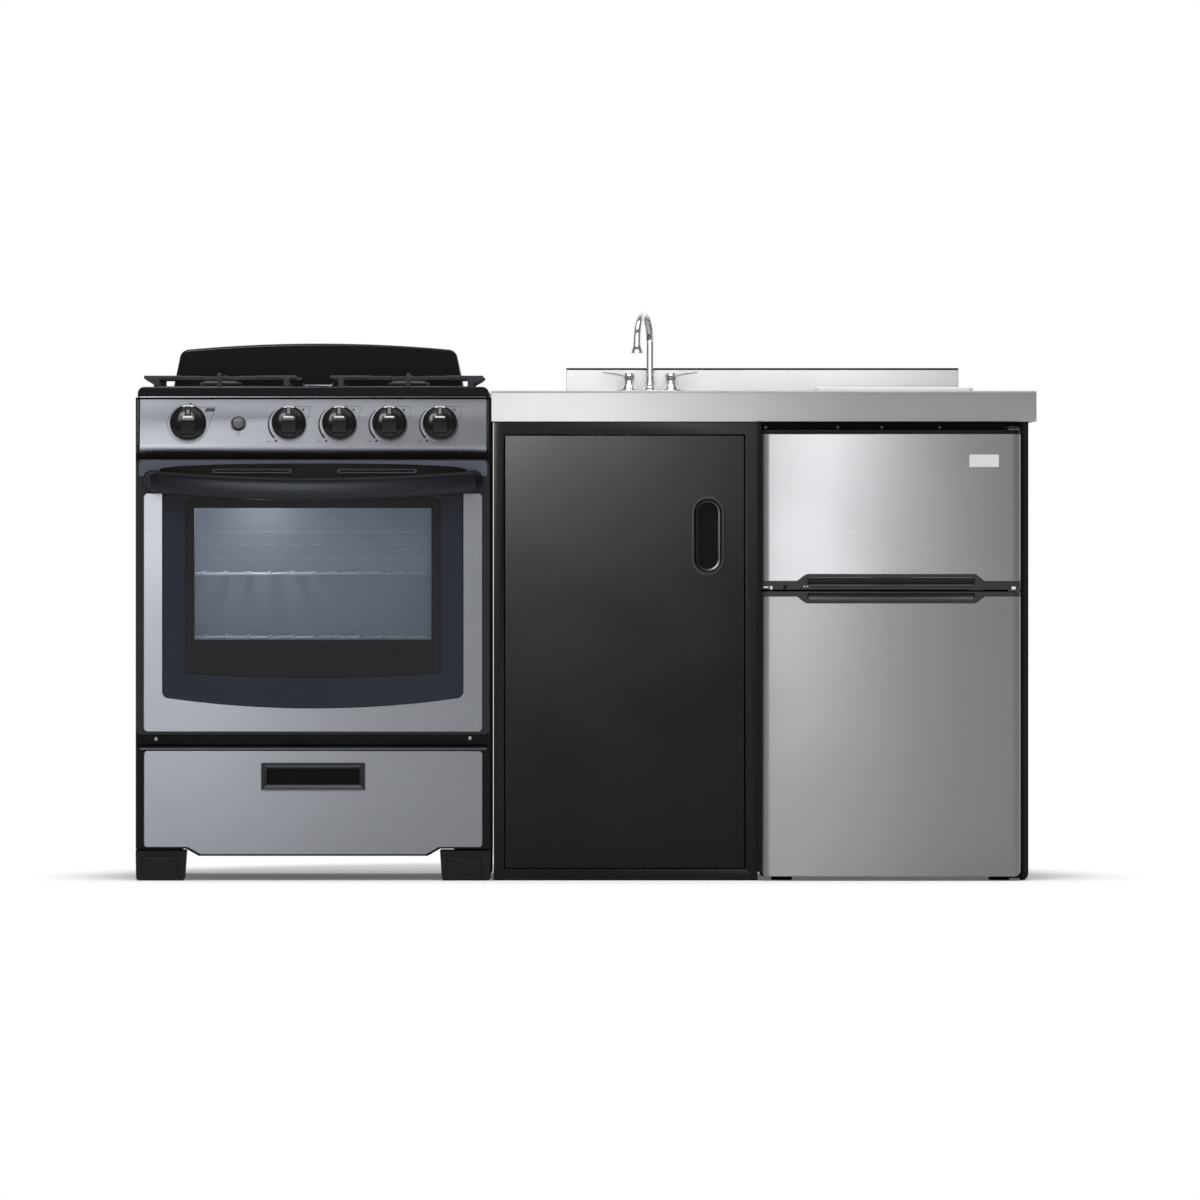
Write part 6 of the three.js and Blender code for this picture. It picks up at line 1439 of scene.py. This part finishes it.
def fridge_trim():
    """The filler at the cabinet, the hinge cover, small hardware between the doors and a blank plate."""
    body = Box("fridge_body")
    filler = block(Box("cabinet_body").x1 - 0.4, body.x0 + 0.4, body.y0 + 1, body.y0 + 30,
                   16, APRON_BOTTOM - 0.5)
    piece("cabinet_filler", filler, FRIDGE_BLACK, "unit")
    for name, left, right, top, bottom, material in BETWEEN_DOORS:
        x0, x1, z0, z1 = px_box(left, right, top, bottom)
        z0 = max(z0, FREEZER_GRIP.z0 + 0.4)
        plane = door_plane((x0 + x1) / 2)
        bit = front_plate(rounded_rect(x0, x1, z0, z1, 0.8, 3), plane - 0.4, plane + 3)
        piece(name, bit, material, "freezer_door")
    x0, x1, z0, z1 = px_box(969.5, 999, 454.5, 467)
    plane = door_plane((x0 + x1) / 2)
    plate = front_plate(rounded_rect(x0, x1, z0, z1, 1.0, 3), plane - 1.2, plane + 3)
    piece("blank_plate", plate, PLATE_SILVER, "freezer_door", (), 0.4, 2)
    for column in TOP_SCREWS:
        x, z = px(column, 427.5)
        head = lathe([(0, 0), (2.6, 0), (2.6, 0.8), (0, 1.6)], 20)
        piece(f"top_screw_{column}", moved(head, forward(x, body.y0, z)), DARK_SCREW, "unit")
    x0, x1, _, z1 = px_box(1004, 1019.5, 427, 432.5)
    cover = block(x0, x1, DOOR_FRONT + 12, body.y0 + 12, FREEZER.z1 + 3.5, z1)
    piece("hinge_cover", cover, PLASTIC_BLACK, "unit", (), 2.0, 3)
    x0, x1, z0, _ = px_box(967, 986, 585.6, 590)
    clip = block(x0, x1, DOOR_FRONT + 6, GRIP_BACK, max(z0, FRIDGE_GRIP.z1 + 0.2), FREEZER_GRIP.z0 - 0.2)
    piece("split_clip", clip, LINER_WHITE, "unit", (), 0.4, 2)


def side_panel():
    """The black panel that closes the unit at the right, with a strip down its front edge."""
    b = Box("side_panel")
    slab = front_plate(rounded_rect(*b.front(), [0, 13, 0, 0], 10), b.y0, b.y1)
    piece("panel_slab", slab, FRIDGE_BLACK, "unit", ("side_panel",), 1.0, 3)
    edge = rounded_rect(b.x0 + 5.4, b.x0 + 10.8, b.z0 + 14, b.z1 - 2, 1, 3)
    piece("panel_edge", front_plate(edge, b.y0 - 0.8, b.y0), PLASTIC_BLACK, "unit",
          (), 0.5, 2)


counter()
sink()
tap()
board()
cabinet()
fridge_doors()
grips()
fridge_inside()
fridge_trim()
side_panel()


# ---- floor, light and surroundings ---------------------------------------------------------------------

WHITE = (1, 1, 1, 1)
FLOOR_SIZE = 40
FLOOR_PALE = (0.88, 0.88, 0.88, 1)
FLOOR_GLOW = 0.12               # what the floor lacks to read as white where no shadow falls
FLOOR_FADE = (0.8, 1.05)        # how far from the unit's middle the floor fades to white, in metres
FLOOR_SQUEEZE = 0.75            # the fade's oval reaches further to the front and back


def stage_floor():
    """A wide pale floor that fades to white away from the unit and keeps its shadow."""
    bm = bmesh.new()
    bmesh.ops.create_grid(bm, x_segments=1, y_segments=1, size=FLOOR_SIZE)
    floor = as_object("floor", bm)
    material = bpy.data.materials.new("floor")
    graph = Graph(material)
    graph.nodes.clear()
    place = graph.add("TexCoord", output="Object")
    squeezed = graph.add("VectorMath", {0: place, 1: (1.0, FLOOR_SQUEEZE, 1.0)}, operation="MULTIPLY")
    distance = graph.add("VectorMath", {0: squeezed}, "Value", operation="LENGTH")
    fade = graph.map_range(distance, *FLOOR_FADE, 0, 1, interpolation_type="SMOOTHSTEP")
    camera = graph.add("LightPath", output="Is Camera Ray")
    surface = graph.add("BsdfDiffuse", {"Color": FLOOR_PALE})
    glow = graph.add("Emission", {"Color": camera, "Strength": FLOOR_GLOW})
    lifted = graph.add("AddShader", {0: surface, 1: glow})
    seen = graph.add("Math", {0: fade, 1: camera}, operation="MULTIPLY")
    graph.finish("Material", graph.mix(seen, lifted, graph.add("Emission", {"Color": WHITE})))
    floor.data.materials.append(material)


ROOM_LEVEL = 0.2                # what the fronts mirror
BACKDROP_FADE = (0.1, 0.7)      # where the room turns into the backdrop, as the way's part along +Y
FILL_LEVEL = 0.6                # even light on dull surfaces


def surroundings():
    """A white backdrop behind the unit and a dimmer room before it; the camera sees white everywhere."""
    scene.world = bpy.data.worlds.new("studio")
    graph = Graph(scene.world)
    graph.nodes.clear()
    way = graph.add("SeparateXYZ", {0: graph.add("TexCoord", output="Generated")}, "Y")
    backdrop = graph.map_range(way, *BACKDROP_FADE, ROOM_LEVEL, 1.0, interpolation_type="SMOOTHSTEP")
    glossy, through, camera = [graph.add("LightPath", output=f"Is {kind} Ray")
                               for kind in ("Glossy", "Transmission", "Camera")]

    def background(strength):
        return graph.add("Background", {"Color": WHITE, "Strength": strength})

    mirrored = graph.add("Math", {0: glossy, 1: through}, operation="MAXIMUM")
    room = graph.mix(mirrored, background(FILL_LEVEL), background(backdrop))
    graph.finish("World", graph.mix(camera, room, background(1.0)))


def area(name, place, aim, size, energy, color=(1, 1, 1)):
    """A soft rectangular lamp, in metres, turned towards a point."""
    lamp = bpy.data.lights.new(name, "AREA")
    lamp.shape = "RECTANGLE"
    lamp.size, lamp.size_y = size
    lamp.energy = energy
    lamp.color = color
    lit = bpy.data.objects.new(name, lamp)
    scene.collection.objects.link(lit)
    lit.location = place
    lit.rotation_euler = (Vector(aim) - Vector(place)).to_track_quat("-Z", "Y").to_euler()
    return lit


def lit_by(lamp, pieces):
    """Keeps the lamp to those pieces."""
    group = bpy.data.collections.new(f"{lamp.name}_lit")
    for made in pieces:
        group.objects.link(made)
    lamp.light_linking.receiver_collection = group


def lamps():
    """Each steel face has a tall lamp at its left; the rest is lit from above left."""
    shown = [made for made in scene.objects if made.type == "MESH" and made.name != "floor"]
    floor = scene.objects["floor"]

    def of(*materials):
        return [made for made in shown if any(m.name in made.data.materials for m in materials)]

    faces = {
        "splash": [scene.objects["splash_sheet"]],
        "freezer": [scene.objects["freezer_skin"]],
        "fridge": [scene.objects["fridge_skin"]],
        "range": of(RANGE_STEEL, EDGE_LIGHT),
        "counter": of(COUNTER_STEEL_LIGHTER),
    }
    faces["counter"].remove(faces["splash"][0])
    for name, x, z, size, energy in (
        ("range", -0.86, 1.6, (0.4, 2.4), 13.0),
        ("counter", -0.1, 1.0, (0.6, 1.4), 5.0),
        ("splash", -0.1, 1.0, (1.6, 1.4), 27.0),
        ("freezer", 0.27, 1.0, (0.4, 1.8), 11.5),
        ("fridge", 0.22, 0.75, (0.4, 1.5), 4.8),
    ):
        lit_by(area(f"{name}_steel_key", (x, -2.0, z), (x, 0, z), size, energy), faces[name])
    dull = [made for made in shown if not any(made in face for face in faces.values())]
    cabinet_pieces, handle_pieces, chrome = of(CABINET_BLACK, CABINET_PULL), of(HANDLE_BLACK), of(CHROME)
    apart = cabinet_pieces + handle_pieces + chrome
    plain = [made for made in dull if made not in apart]
    split = RANGE.x1 * MM

    def middle(made):
        return sum((made.matrix_world @ Vector(c)).x for c in made.bound_box) / 8

    lit_by(area("range_key", (-0.95, -1.6, 2.4), (-0.6, 0, 0.6), (0.9, 0.7), 25),
           [made for made in plain if middle(made) < split])
    lit_by(area("kitchenette_key", (-0.2, -1.6, 2.2), (0.3, 0, 0.7), (0.9, 0.7), 25),
           [made for made in plain if middle(made) >= split])
    lit_by(area("cabinet_key", (-0.2, -1.7, 1.0), (-0.1, 0, 0.9), (0.4, 0.3), 24), cabinet_pieces)
    handle_key = area("handle_key", (-0.66, -2.0, 0.95), (-0.6, 0, 0.8), (0.45, 0.45), 9, (0.84, 0.92, 1.0))
    lit_by(handle_key, handle_pieces)
    lit_by(area("chrome_key", (0.05, -1.3, 1.3), (0.1, 0, 1.0), (2.6, 1.2), 13), chrome)
    lit_by(area("floor_key", (0.0, -3.0, 1.9), (0, 0, 0.3), (2.4, 1.0), 60), [floor])
    area("top", (0.0, -0.8, 3.2), (0, 0, 0.5), (3.0, 1.6), 20)


stage_floor()
surroundings()
lamps()
scene.view_settings.view_transform = "Standard"
